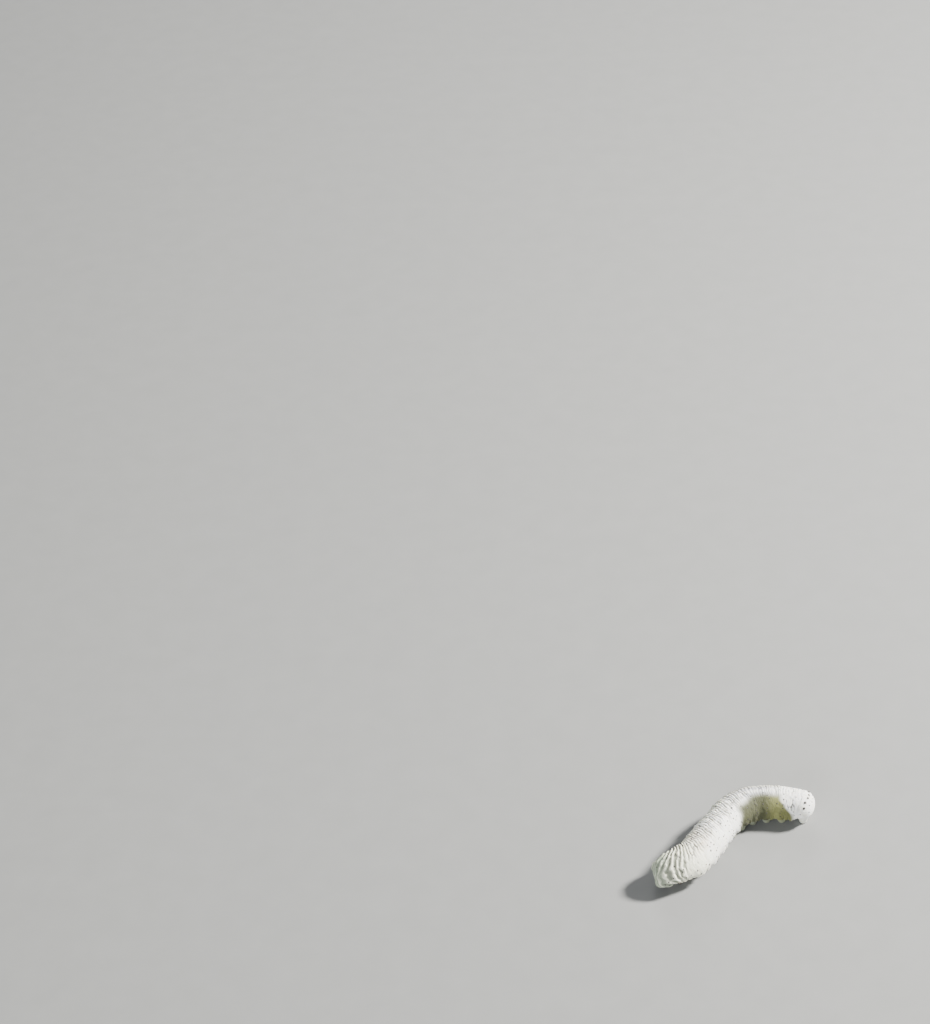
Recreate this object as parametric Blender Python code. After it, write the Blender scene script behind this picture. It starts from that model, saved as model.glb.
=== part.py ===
"""A solomons seal sawfly larva at life size, at rest on its legs in a loose bend.

The body is one soft tube along a midline, parted at its segment folds. In what follows, s is the
distance along the midline from the front end, and an angle round the body is 0 on the back, positive
on the left flank and 180 degrees on the belly. Sizes are in millimetres, and a finished mesh is
scaled to metres.
"""

import math

import bmesh
import bpy
from mathutils import Matrix, Vector

METRES_PER_MM = 0.001
GAP = 0.2  # between a node and what it grows from
HEAD_GAP = 0.1  # between the head capsule and the small pieces on it

# The midline, from the front end to the tail tip
MIDLINE = (
    (-7.2, -5.4, 1.15),
    (-5.97, -5.1, 1.93),
    (-4.2, -4.05, 2.14),
    (-2.95, -2.1, 2.16),
    (-1.75, 0.05, 2.13),
    (-0.4, 2.2, 2.08),
    (1.3, 3.65, 2.0),
    (3.35, 4.15, 1.88),
    (5.65, 4.05, 1.78),
    (7.95, 3.55, 1.7),
)
MIDLINE_SAMPLES = 400
AXES_REACH = 0.15  # how far to each side of a place its directions are measured

# The segments, from the front: length, number of folds round each and how high those stand
THORAX_LENGTHS = (1.25, 1.5, 1.6)
THORAX_FOLDS = (2, 3, 3)
THORAX_FOLD_HEIGHT = 0.2
ABDOMEN_LENGTH = 1.68
ABDOMEN_FOLDS = 6
ABDOMEN_FOLD_HEIGHT = 0.13
ABDOMEN_FOLD_SHARES = (0.65, 1.0, 0.7, 1.0, 0.75, 0.6)
NINTH_LENGTH = 1.0
NINTH_FOLDS = 3
NINTH_FOLD_HEIGHT = 0.08
NINTH_FOLD_SHARES = (0.9, 1.0, 0.7)
ANAL_LENGTH = 1.45
SEGMENT_CREASE = 0.07
SEGMENT_CREASE_REACH = 0.14
RIDGE_WIDTH = 0.7  # the lower, the broader a fold's crest
RIDGE_MIDDLE = 0.5
LAST_PLACE = 0.9999  # the share of a segment that still counts as its last fold
FOLD_SWEEP = 0.5  # how far the thorax's folds lie further back on the flank than on the back
SWEEP_ANGLE = 100  # they sweep back no further below it
SWEEP_FADE = (2.5, 7.0)
FOLD_FADES = {"prothorax": (105, 140), "mesothorax": (105, 140), "metathorax": (75, 115)}
ABDOMEN_FADE = (55, 95)  # the angles between which folds fade on the flank
FADED_SHARE = 0.2

# The half width of the body along s, and its shape round the midline
GIRTH = (
    (0.0, 1.46),
    (1.25, 1.6),
    (3.6, 1.84),
    (6.6, 1.84),
    (9.5, 1.72),
    (12.0, 1.76),
    (15.0, 1.65),
    (20.3, 1.5),
)
BELLY_SHARE = 0.7
THORAX_BELLY_SHARE = 0.66
THORAX_TO_ABDOMEN = (3.4, 5.2)
BELLY_FLATNESS = 0.72
BELLY_ANGLE = 95  # past it the skin is drawn to the seats of the legs
COLLAR_SHARE = 0.78
COLLAR_ROUND = 0.9
TAIL_ROUND = 1.4
TAIL_BLUNTNESS = 2.3
SIDES = 28

# The lobe low on each flank, above the leg
LOBE_HEIGHT = 0.16
LOBE_ANGLE = 119
LOBE_ANGLE_REACH = 17
LOBE_REACH = 0.42
THORAX_LOBE_SHARE = 0.7

# The cheek of the prothorax, beside the head, and its brow above the head
CHEEK_HEIGHT = 0.12
CHEEK_AHEAD = 0.48
CHEEK_ANGLE = 74
CHEEK_ANGLE_REACH = 34
CHEEK_LENGTH = 0.9
BROW_SHARE = 0.32
BROW_ANGLE_REACH = 46

# How much flatter the throat is than the belly, and where along s it deepens to that
THROAT_CUT = 0.16
THROAT_SPAN = (0.6, 1.8)

# Prolegs, on abdominal segments 2 to 8, and the anal pair
PROLEG_SEGMENTS = range(2, 9)
SEAT_HEIGHT = 0.6
SEAT_REACH = 1.9  # in radii of the leg's root
PROLEG_OFFSET = 0.76
PROLEG_ROOT = 0.44
PROLEG_FOOT = 0.3
ANAL_PROLEG_OFFSET = 0.5
ANAL_PROLEG_SET_BACK = 0.42
ANAL_PROLEG_ROOT = 0.4
PROLEG_SIDES = 12
PROLEG_DEPTH_SHARE = 0.9
PROLEG_ROWS = ((0.0, 0.74), (0.07, 0.97), (0.2, 1.04), (0.38, 1.0))  # share of its height, girth

# Thoracic legs
LEG_SEAT_HEIGHT = 1.0
LEG_OFFSET = 0.6
FIRST_LEG_AHEAD = 0.12
LEG_SIDES = 12
LEG_PATH = ((0.0, 0.0), (0.04, -0.18), (0.08, -0.34), (0.02, -0.52), (-0.14, -0.7), (-0.28, -0.86))
LEG_RADII = (0.36, 0.36, 0.27, 0.25, 0.18, 0.1)

# The head capsule: half its width, height and depth, and the place of its pieces on it
HEAD_HALF = (0.82, 0.8, 0.7)
HEAD_REACH = -0.2
JAW_TAPER = 0.22
JAW_SPAN = (-0.1, -1.0)  # shares of the half height between which the head narrows
FACE_FLATNESS = 0.12
FACE_SPAN = (0.5, 1.0)
EYE_RADIUS = 0.16
EYE_AT = (0.72, -0.02, 0.3)
ANTENNA_AT = (0.4, -0.34, 0.52)
ANTENNA_LENGTH = 0.3
ANTENNA_ROOT = 0.15
ANTENNA_TIP = 0.06
ANTENNA_OUT = 0.1
ANTENNA_SIDES = 10
MANDIBLE_AT = (0.2, -0.74, 0.3)
MANDIBLE_HALF = (0.17, 0.2, 0.13)
HEAD_SEGMENTS = 24
HEAD_RINGS = 16

# The rings of the rounded ends
COLLAR_RINGS = (0.0, 0.12, 0.3, 0.46, 0.625, 0.78, 0.94)
TAIL_TURNS = range(4, 85, 10)

# Colours as linear values, roughness
MATERIALS = {
    "skin": ((0.74, 0.74, 0.7), 0.75),
    "proleg": ((0.66, 0.67, 0.6), 0.7),
    "leg": ((0.06, 0.045, 0.035), 0.4),
    "claw": ((0.09, 0.05, 0.03), 0.35),
    "capsule": ((0.012, 0.011, 0.01), 0.25),
    "eye": ((0.005, 0.005, 0.006), 0.1),
}


def clear_scene():
    for obj in list(bpy.data.objects):
        bpy.data.objects.remove(obj, do_unlink=True)


def material(name):
    found = bpy.data.materials.get(name)
    if found:
        return found
    colour, roughness = MATERIALS[name]
    made = bpy.data.materials.new(name)
    made.use_nodes = True
    shader = made.node_tree.nodes["Principled BSDF"]
    shader.inputs["Base Color"].default_value = (*colour, 1.0)
    shader.inputs["Roughness"].default_value = roughness
    shader.inputs["Metallic"].default_value = 0.0
    return made


def curve_through(points, t):
    """The point at t, from 0 to 1, on a smooth curve through the points (Catmull-Rom)."""
    spans = len(points) - 1
    i = min(int(t * spans), spans - 1)
    u = t * spans - i
    b, c = Vector(points[i]), Vector(points[i + 1])
    a = Vector(points[i - 1]) if i else 2 * b - c
    d = Vector(points[i + 2]) if i + 2 <= spans else 2 * c - b
    return 0.5 * (2 * b + (c - a) * u + (2 * a - 5 * b + 4 * c - d) * u**2 + (3 * b - a - 3 * c + d) * u**3)


def smoothstep(low, high, value):
    share = min(max((value - low) / (high - low), 0.0), 1.0)
    return share * share * (3 - 2 * share)


def bell(distance, reach):
    return math.exp(-((distance / reach) ** 2))


def profile(points, at):
    """The value at a place along a list of (place, value), eased between them."""
    for (low, first), (high, last) in zip(points, points[1:]):
        if at <= high:
            return first + (last - first) * smoothstep(low, high, at)
    return points[-1][1]


class Midline:
    """The middle of the body, by distance from the front end."""

    def __init__(self, points, length):
        steps = [i / MIDLINE_SAMPLES for i in range(MIDLINE_SAMPLES + 1)]
        self.points = [curve_through(points, t) for t in steps]
        self.run = [0.0]
        for before, after in zip(self.points, self.points[1:]):
            self.run.append(self.run[-1] + (after - before).length)
        self.stretch = self.run[-1] / length

    def point(self, s):
        target = s * self.stretch
        i = min(max(sum(1 for r in self.run if r <= target) - 1, 0), MIDLINE_SAMPLES - 1)
        share = (target - self.run[i]) / (self.run[i + 1] - self.run[i])
        return self.points[i].lerp(self.points[i + 1], share)

    def axes(self, s):
        """The directions to the left flank, the back and the front at s."""
        front = (self.point(s - AXES_REACH) - self.point(s + AXES_REACH)).normalized()
        left = Vector((0, 0, 1)).cross(front).normalized()
        return left, front.cross(left), front


class Segment:
    def __init__(self, name, start, length, folds, height, shares):
        self.name, self.start, self.length = name, start, length
        self.end = start + length
        self.middle = start + length / 2
        self.folds, self.height, self.shares = folds, height, shares


def make_segments():
    names = ("prothorax", "mesothorax", "metathorax")
    rows = [
        (name, length, folds, THORAX_FOLD_HEIGHT, (1.0,) * folds)
        for name, length, folds in zip(names, THORAX_LENGTHS, THORAX_FOLDS)
    ]
    rows += [
        (f"abdomen_{i}", ABDOMEN_LENGTH, ABDOMEN_FOLDS, ABDOMEN_FOLD_HEIGHT, ABDOMEN_FOLD_SHARES)
        for i in range(1, 9)
    ]
    rows.append(("abdomen_9", NINTH_LENGTH, NINTH_FOLDS, NINTH_FOLD_HEIGHT, NINTH_FOLD_SHARES))
    rows.append(("anal_segment", ANAL_LENGTH, 1, 0.0, (1.0,)))
    segments, start = [], 0.0
    for name, length, folds, height, shares in rows:
        segments.append(Segment(name, start, length, folds, height, shares))
        start += length
    return segments


SEGMENTS = make_segments()
LENGTH = SEGMENTS[-1].end
BODY = Midline(MIDLINE, LENGTH)


def segment_at(s):
    return next((segment for segment in SEGMENTS if s < segment.end), SEGMENTS[-1])


def half_width(s):
    """Half the body's width at s, without its folds, rounded off at both ends."""
    collar = COLLAR_SHARE + (1 - COLLAR_SHARE) * math.sin(math.pi / 2 * min(s / COLLAR_ROUND, 1.0))
    past = min(max((s - (LENGTH - TAIL_ROUND)) / TAIL_ROUND, 0.0), 1.0)
    tail = (1 - past**TAIL_BLUNTNESS) ** (1 / TAIL_BLUNTNESS)
    return profile(GIRTH, s) * collar * tail


def thorax_share(s):
    """1 in the thorax, 0 in the abdomen."""
    return 1 - smoothstep(*THORAX_TO_ABDOMEN, s)


def sweep(s, angle):
    """How far back a fold that crosses the back at s has moved by the time it reaches an angle."""
    lowness = 1 - math.cos(math.radians(min(abs(angle), SWEEP_ANGLE)))
    return FOLD_SWEEP * lowness * smoothstep(0.0, THORAX_LENGTHS[0], s) * (1 - smoothstep(*SWEEP_FADE, s))


def fold_height(s, angle):
    """How far the folds and the creases between segments lift the skin, for a fold at s on the back."""
    segment = segment_at(s)
    place = min(max((s - segment.start) / segment.length, 0.0), LAST_PLACE) * segment.folds
    ridge = math.sin(math.pi * (place % 1.0)) ** RIDGE_WIDTH - RIDGE_MIDDLE
    fade_from, fade_to = FOLD_FADES.get(segment.name, ABDOMEN_FADE)
    fading = 1 - (1 - FADED_SHARE) * smoothstep(fade_from, fade_to, abs(angle))
    lift = segment.height * segment.shares[int(place)] * ridge * fading
    if LENGTH - s > ANAL_LENGTH / 2:
        nearest = min(abs(s - segment.start), abs(s - segment.end))
        lift -= SEGMENT_CREASE * bell(nearest, SEGMENT_CREASE_REACH)
    return lift


def cheek(s, angle):
    """1 where the prothorax's cheek is fullest, beside the head, and less over its brow."""
    full = bell(abs(angle) - CHEEK_ANGLE, CHEEK_ANGLE_REACH) + BROW_SHARE * bell(angle, BROW_ANGLE_REACH)
    return (1 - smoothstep(0.0, CHEEK_LENGTH, s)) * full


def lobe_height(s, angle):
    """How far the flank lobes lift the skin at s."""
    segment = segment_at(s)
    if segment.name == "anal_segment":
        return 0.0
    share = 1 + (THORAX_LOBE_SHARE - 1) * thorax_share(s)
    lobe = bell(s - segment.middle, LOBE_REACH) * bell(abs(angle) - LOBE_ANGLE, LOBE_ANGLE_REACH)
    return LOBE_HEIGHT * share * lobe


def skin_point(fold_s, angle):
    """The point of the surface at an angle, in degrees, on the fold that crosses the back at fold_s."""
    s = fold_s + sweep(fold_s, angle)
    left, back, front = BODY.axes(s)
    turn = math.radians(angle)
    width = half_width(s)
    width += (fold_height(fold_s, angle) + lobe_height(s, angle)) * min(width, 1.0)
    width += CHEEK_HEIGHT * cheek(s, angle)
    upright = math.cos(turn)
    if upright < 0:
        share = BELLY_SHARE + (THORAX_BELLY_SHARE - BELLY_SHARE) * thorax_share(s)
        share -= THROAT_CUT * (1 - smoothstep(*THROAT_SPAN, s))
        upright = -share * abs(upright) ** BELLY_FLATNESS
    around = (left * math.sin(turn) + back * upright) * width
    return BODY.point(s) + around + front * CHEEK_AHEAD * cheek(s, angle)


class Foot:
    """Where a leg or proleg leaves the body: the flat seat that the skin is drawn down to."""

    def __init__(self, name, s, side, offset, seat, root):
        left, _, front = BODY.axes(s)
        self.name, self.side, self.seat, self.root = name, side, seat, root
        self.outward = left * side
        self.forward = Vector((front.x, front.y, 0)).normalized()
        self.place = BODY.point(s) + left * side * offset
        self.place.z = 0.0

    def draw_down(self, point):
        """Lowers a point of the belly over this foot to its seat."""
        away = (Vector((point.x, point.y, 0)) - self.place).length
        share = 1 - smoothstep(self.root, self.root * SEAT_REACH, away)
        point.z += (self.seat - point.z) * share


def make_feet():
    legs, prolegs = [], []
    for side, hand in ((1, "left"), (-1, "right")):
        for segment in SEGMENTS[:3]:
            s = segment.middle + (FIRST_LEG_AHEAD if segment is SEGMENTS[0] else 0.0)
            name = f"leg_{segment.name}_{hand}"
            legs.append(Foot(name, s, side, LEG_OFFSET, LEG_SEAT_HEIGHT, LEG_RADII[0]))
        for i in PROLEG_SEGMENTS:
            s = SEGMENTS[i + 2].middle
            prolegs.append(Foot(f"proleg_{i}_{hand}", s, side, PROLEG_OFFSET, SEAT_HEIGHT, PROLEG_ROOT))
        s = SEGMENTS[-1].start + ANAL_PROLEG_SET_BACK
        name = f"anal_proleg_{hand}"
        prolegs.append(Foot(name, s, side, ANAL_PROLEG_OFFSET, SEAT_HEIGHT, ANAL_PROLEG_ROOT))
    return legs, prolegs


LEGS, PROLEGS = make_feet()


def tube(rings, sides, place):
    """A closed tube of rings, each of its points put where place(ring, degrees round) says."""
    bm = bmesh.new()
    bmesh.ops.create_cone(bm, cap_ends=True, segments=sides, radius1=1, radius2=1, depth=rings - 1)
    upright = [edge for edge in bm.edges if abs(edge.verts[0].co.z - edge.verts[1].co.z) > 0.5]
    if rings > 2:
        bmesh.ops.subdivide_edges(bm, edges=upright, cuts=rings - 2, use_grid_fill=True)
    for vert in bm.verts:
        ring = round(vert.co.z + (rings - 1) / 2)
        vert.co = place(ring, math.degrees(math.atan2(vert.co.y, vert.co.x)))
    if bm.calc_volume(signed=True) < 0:
        bmesh.ops.reverse_faces(bm, faces=bm.faces)
    return bm


def finish(bm, name, look, collection):
    """Makes the mesh in millimetres a named object in metres."""
    bmesh.ops.scale(bm, vec=(METRES_PER_MM,) * 3, verts=bm.verts)
    mesh = bpy.data.meshes.new(name)
    bm.to_mesh(mesh)
    bm.free()
    mesh.materials.append(material(look))
    mesh.shade_smooth()
    obj = bpy.data.objects.new(name, mesh)
    collection.objects.link(obj)
    return obj


def cut_away(obj, cutters, name, collection):
    """Takes the cutters' shapes out of an object, with the Boolean left live."""
    for i, bm in enumerate(cutters):
        cutter = finish(bm, f"{name}_cutter_{i}", "skin", collection)
        cutter.hide_render = True
        cutter.display_type = "WIRE"
        step = obj.modifiers.new(f"{name}_{i}", "BOOLEAN")
        step.operation = "DIFFERENCE"
        step.object = cutter


def fold_stations(segments):
    """The places along s of the rings of a body length: the bottom and the crest of each fold."""
    stations = []
    for segment in segments:
        step = segment.length / segment.folds / 2
        stations += [segment.start + i * step for i in range(2 * segment.folds)]
    stations.append(segments[-1].end)
    stations[0] += GAP / 2
    stations[-1] -= GAP / 2
    return stations


def body_length(name, segments, collection):
    stations = fold_stations(segments)
    if name == "prothorax":
        stations = [*COLLAR_RINGS, stations[-1]]
    if name == "anal_segment":
        rounded = [TAIL_ROUND * (math.sin(math.radians(turn)) - 1) for turn in TAIL_TURNS]
        stations = [stations[0]] + [LENGTH + back for back in rounded]

    def place(ring, angle):
        point = skin_point(stations[ring], angle)
        if abs(angle) > BELLY_ANGLE:
            for foot in LEGS + PROLEGS:
                foot.draw_down(point)
        return point

    return finish(tube(len(stations), SIDES, place), name, "skin", collection)


def proleg(foot, collection):
    """A soft stub: widest under its seat, drawn in to a rounded sole on the ground."""
    rows = [*PROLEG_ROWS, (1.0, foot.root / PROLEG_FOOT)]
    top = foot.seat - GAP

    def place(ring, angle):
        share, girth = rows[ring]
        radius = PROLEG_FOOT * girth
        turn = math.radians(angle)
        ahead, aside = foot.forward * math.cos(turn) * PROLEG_DEPTH_SHARE, foot.outward * math.sin(turn)
        return foot.place + (ahead + aside) * radius + Vector((0, 0, top * share))

    return finish(tube(len(rows), PROLEG_SIDES, place), foot.name, "proleg", collection)


def leg(foot, collection):
    """A short jointed leg that goes out, down and back in to a claw on the ground."""
    top = foot.seat - GAP
    drop = top / -LEG_PATH[-1][1]
    path = [foot.outward * out + Vector((0, 0, top + down * drop)) for out, down in LEG_PATH]
    middles = [foot.place + step for step in path]

    def place(ring, angle):
        ahead = middles[min(ring + 1, len(middles) - 1)] - middles[max(ring - 1, 0)]
        if ring in (0, len(middles) - 1):
            ahead = Vector((0, 0, -1))
        across = foot.forward.cross(ahead).normalized()
        turn = math.radians(angle)
        return middles[ring] + (foot.forward * math.cos(turn) + across * math.sin(turn)) * LEG_RADII[ring]

    return finish(tube(len(middles), LEG_SIDES, place), foot.name, "leg", collection)


def head_frame():
    """The head's own frame: x to its left, y to its crown, z out of its face."""
    left, back, front = BODY.axes(0.0)
    frame = Matrix((left, back, front)).transposed().to_4x4()
    frame.translation = BODY.point(0.0) + front * HEAD_REACH
    return frame


HEAD = head_frame()


def capsule(grown=0.0):
    """The head capsule, or the same shape grown by an amount."""
    half = [size + grown for size in HEAD_HALF]
    bm = bmesh.new()
    bmesh.ops.create_uvsphere(bm, u_segments=HEAD_SEGMENTS, v_segments=HEAD_RINGS, radius=1)
    for vert in bm.verts:
        x, y, z = vert.co
        jaw = 1 - JAW_TAPER * smoothstep(*JAW_SPAN, y)
        face = 1 - FACE_FLATNESS * smoothstep(*FACE_SPAN, z)
        vert.co = Vector((x * jaw * half[0], y * half[1], z * face * half[2]))
    bmesh.ops.transform(bm, matrix=HEAD, verts=bm.verts)
    return bm


def ball(middle, radius):
    bm = bmesh.new()
    bmesh.ops.create_icosphere(bm, subdivisions=2, radius=radius)
    bmesh.ops.translate(bm, vec=middle, verts=bm.verts)
    return bm


def mirrored(at, side):
    return Vector((at[0] * side, at[1], at[2]))


def antenna(side, grown=0.0):
    root = mirrored(ANTENNA_AT, side)
    along = root.normalized()
    bm = bmesh.new()
    bmesh.ops.create_cone(
        bm,
        cap_ends=True,
        segments=ANTENNA_SIDES,
        radius1=ANTENNA_ROOT + grown,
        radius2=ANTENNA_TIP + grown,
        depth=ANTENNA_LENGTH + 2 * grown,
    )
    turn = Vector((0, 0, 1)).rotation_difference(along).to_matrix().to_4x4()
    at = Matrix.Translation(root + along * ANTENNA_OUT)
    bmesh.ops.transform(bm, matrix=HEAD @ at @ turn, verts=bm.verts)
    return bm


def mandible(side, grown=0.0):
    bm = bmesh.new()
    bmesh.ops.create_icosphere(bm, subdivisions=2, radius=1)
    half = [size + grown for size in MANDIBLE_HALF]
    bmesh.ops.scale(bm, vec=half, verts=bm.verts)
    at = Matrix.Translation(mirrored(MANDIBLE_AT, side))
    bmesh.ops.transform(bm, matrix=HEAD @ at, verts=bm.verts)
    return bm


def head_pieces(collection, cutters):
    head = finish(capsule(), "head", "capsule", collection)
    sockets = []
    for side, hand in ((1, "left"), (-1, "right")):
        eye_at = HEAD @ mirrored(EYE_AT, side)
        finish(ball(eye_at, EYE_RADIUS), f"eye_{hand}", "eye", collection)
        finish(antenna(side), f"antenna_{hand}", "capsule", collection)
        finish(mandible(side), f"mandible_{hand}", "claw", collection)
        sockets += [ball(eye_at, EYE_RADIUS + HEAD_GAP), antenna(side, HEAD_GAP), mandible(side, HEAD_GAP)]
    cut_away(head, sockets, "head", cutters)


def stand_on_origin(collections):
    """Moves every mesh so that the middle of the model's box stands on the origin."""
    objects = list(collections[0].objects)
    corners = [vert.co for obj in objects for vert in obj.data.vertices]
    low = Vector([min(corner[i] for corner in corners) for i in range(3)])
    high = Vector([max(corner[i] for corner in corners) for i in range(3)])
    shift = Matrix.Translation((-(low.x + high.x) / 2, -(low.y + high.y) / 2, -low.z))
    for collection in collections:
        for obj in collection.objects:
            obj.data.transform(shift)


def main():
    clear_scene()
    larva = bpy.data.collections.new("sawfly_larva")
    cutters = bpy.data.collections.new("cutters")
    for collection in (larva, cutters):
        bpy.context.scene.collection.children.link(collection)

    lengths = [(segment.name, [segment]) for segment in SEGMENTS[:3]]
    lengths += [(f"abdomen_{i}_{i + 1}", SEGMENTS[i + 2 : i + 4]) for i in (1, 3, 5, 7)]
    lengths += [(segment.name, [segment]) for segment in SEGMENTS[-2:]]
    bodies = {name: body_length(name, segments, larva) for name, segments in lengths}
    cut_away(bodies["prothorax"], [capsule(GAP)], "prothorax", cutters)

    for foot in PROLEGS:
        proleg(foot, larva)
    for foot in LEGS:
        leg(foot, larva)
    head_pieces(larva, cutters)
    stand_on_origin((larva, cutters))


main()
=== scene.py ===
import math
import random

import bmesh
import bpy
import numpy as np
from mathutils import Matrix, Vector, noise


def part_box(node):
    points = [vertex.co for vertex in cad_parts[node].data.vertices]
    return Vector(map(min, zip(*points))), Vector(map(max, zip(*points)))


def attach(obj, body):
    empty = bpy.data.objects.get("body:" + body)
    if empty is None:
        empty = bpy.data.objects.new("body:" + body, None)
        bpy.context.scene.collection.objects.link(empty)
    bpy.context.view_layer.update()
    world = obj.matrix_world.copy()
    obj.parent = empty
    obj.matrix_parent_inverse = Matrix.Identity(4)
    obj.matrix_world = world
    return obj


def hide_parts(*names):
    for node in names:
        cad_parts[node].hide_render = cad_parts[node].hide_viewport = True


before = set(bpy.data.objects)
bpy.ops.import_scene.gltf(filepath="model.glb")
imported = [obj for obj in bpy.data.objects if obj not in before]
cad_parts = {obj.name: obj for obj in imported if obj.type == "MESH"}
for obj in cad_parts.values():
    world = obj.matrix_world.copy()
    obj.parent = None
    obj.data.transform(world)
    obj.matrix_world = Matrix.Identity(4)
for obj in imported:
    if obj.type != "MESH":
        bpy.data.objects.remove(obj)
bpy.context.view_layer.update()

# The looks of a solomons seal sawfly larva. Sizes are in millimetres until a mesh is finished. s is the
# distance along the body's midline from the front end, and an angle round the body is 0 on the back,
# positive on the left flank and 180 degrees on the belly.

METRES_PER_MM = 0.001

# The midline, from the front end to the tail tip, in the part's own layout
MIDLINE = (
    (-7.2, -5.4, 1.15),
    (-5.97, -5.1, 1.93),
    (-4.2, -4.05, 2.14),
    (-2.95, -2.1, 2.16),
    (-1.75, 0.05, 2.13),
    (-0.4, 2.2, 2.08),
    (1.3, 3.65, 2.0),
    (3.35, 4.15, 1.88),
    (5.65, 4.05, 1.78),
    (7.95, 3.55, 1.7),
)
MIDLINE_SAMPLES = 400

# Segments from front to back: name, length, how high the folds round it stand, each fold's share of that
SEGMENT_ROWS = (
    ("prothorax", 1.25, 0.16, (1.0,) * 3),
    ("mesothorax", 1.5, 0.16, (1.0,) * 4),
    ("metathorax", 1.6, 0.16, (1.0,) * 5),
    *((f"abdomen_{i}", 1.68, 0.19, (0.55, 1.0, 0.5, 0.9, 0.7, 0.45)) for i in range(1, 9)),
    ("abdomen_9", 1.0, 0.08, (0.9, 1.0, 0.7)),
    ("anal_segment", 1.45, 0.0, (1.0,)),
)
SEGMENT_CREASE = 0.07
SEGMENT_CREASE_REACH = 0.12

# How far folds sweep back down the thorax's flanks, and how far they slant round the back
FOLD_SWEEP = 0.5
SWEEP_ANGLE = 100
SWEEP_FADE = (2.5, 7.0)
FRONT_SLANT = 0.85
FOLD_SLANT = 0.5
SLANT_END = (10.0, 13.5)
# The body is a little twisted: behind the front end, the folds' middle lies this far right of the back
FOLD_LEAN = 16
LEAN_SPAN = (2.0, 4.0)

# Stretches of s over which the folds change: ahead of the first they wrap the body, then they are
# calmer for a while, and over the last they get lower and shorter
WRAPPED_END = (2.1, 3.1)
CALM_END = (2.4, 5.2)
REAR_SPAN = (10.5, 14.5)

# How far off their middle, in degrees, folds start to fade and are gone, and what is added to that at
# the rear and where they wrap the body; then how far single folds and the highest ones go past it
FADE_FROM = (24, -14, 74)
FADE_TO = (52, -8, 84)
OWN_REACH = 26
HIGH_FOLD_REACH = 9

# Where the left flank gets smooth, along s and round the body
SMOOTH_FLANK_SPAN = (10.6, 12.2)
SMOOTH_FLANK_ANGLES = (12, 34)

# Girth along the body and the shape of a cross section
GIRTH = (
    (0.0, 1.46),
    (1.25, 1.6),
    (3.6, 1.84),
    (6.6, 1.84),
    (9.5, 1.72),
    (12.0, 1.76),
    (15.0, 1.65),
    (20.3, 1.5),
)
BELLY_SHARE = 0.7
THORAX_BELLY_SHARE = 0.66
THORAX_TO_ABDOMEN = (3.4, 5.2)
BELLY_FLATNESS = 0.72
COLLAR_SHARE = 0.78
COLLAR_ROUND = 0.9
TAIL_ROUND = 1.4
TAIL_BLUNTNESS = 2.3

# The cheek of the prothorax, beside the head, and its brow above the head
CHEEK_HEIGHT = 0.12
CHEEK_AHEAD = 0.48
CHEEK_ANGLE = 74
CHEEK_ANGLE_REACH = 34
CHEEK_LENGTH = 0.9
BROW_SHARE = 0.32
BROW_ANGLE_REACH = 46

# How much flatter the throat is than the belly, and where along s it deepens to that
THROAT_CUT = 0.16
THROAT_SPAN = (0.6, 1.8)

# The lobes of a flank in each segment: (height, how far behind the segment's middle, reach along s,
# angle, reach round the body). The first rows vary from lobe to lobe and are lower on the thorax.
VARIED_LOBES = ((0.16, -0.12, 0.36, 119, 17), (0.12, 0.55, 0.2, 122, 13))
EVEN_LOBES = ((0.08, 0.05, 0.5, 138, 9), (0.045, 0.0, 0.6, 86, 13))
THORAX_LOBE_SHARE = 0.7
REAR_FULLNESS = 0.22
REAR_FULL_SPAN = (11.5, 13.5)

# Prolegs and legs: their seats on the body and their own sizes
PROLEG_OFFSET = 0.76
PROLEG_REACH = 0.74
ANAL_PROLEG_OFFSET = 0.5
ANAL_PROLEG_SET_BACK = 0.42
LEG_SEAT_HEIGHT = 1.0
LEG_SEAT_SUNK = 0.05
LEG_OFFSET = 0.6
FIRST_LEG_AHEAD = 0.12
LEG_REACH = 0.6
LEG_FORWARD = 0.12

# Head: half its width, height and depth, and how far its middle lies ahead of the midline's end
HEAD_HALF = (0.82, 0.8, 0.7)
HEAD_REACH = -0.2
JAW_TAPER = 0.22
JAW_SPAN = (-0.1, -1.0)
FACE_FLATNESS = 0.12
FACE_SPAN = (0.5, 1.0)
EYE_RADIUS = 0.16
EYE_AT = (0.72, -0.02, 0.3)
EYE_RIM_RADIUS = 0.165
EYE_RIM_THICKNESS = 0.032
ANTENNA_AT = (0.4, -0.34)
ANTENNA_CUSHION = 0.155
MANDIBLE_AT = (0.2, -0.74, 0.3)
MANDIBLE_HALF = (0.17, 0.2, 0.13)
MANDIBLE_TAPER = 0.42
MANDIBLE_INWARD = 0.09
MANDIBLE_AHEAD = 0.05
TOOTH_HEIGHT = 0.028
TOOTH_TURNS = 19

# How fine the skin is: points round it, rings to a fold, rings of the collar and the tail's round end,
# and how much closer its points lie over the prolegs, with the angle and reach of that
SKIN_SIDES = 136
THORAX_FOLD_RINGS = 10
FOLD_RINGS = 9
COLLAR_RINGS = 26
TAIL_RINGS = 46
PROLEG_CLOSENESS = 1.1
PROLEG_ANGLE = 152
PROLEG_ANGLE_REACH = 24

random.seed(11)


# Shared measures


def smoothstep(low, high, value):
    share = np.clip((value - low) / (high - low), 0.0, 1.0)
    return share * share * (3 - 2 * share)


def bell(distance, reach):
    return np.exp(-((distance / reach) ** 2))


def eased(points, at):
    """The value at a place along a list of (place, value), eased between them."""
    places, values = (np.array(column) for column in zip(*points))
    i = np.clip(np.searchsorted(places, at, side="left") - 1, 0, len(places) - 2)
    share = np.clip((at - places[i]) / (places[i + 1] - places[i]), 0.0, 1.0)
    return values[i] + (values[i + 1] - values[i]) * share * share * (3 - 2 * share)


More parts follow.
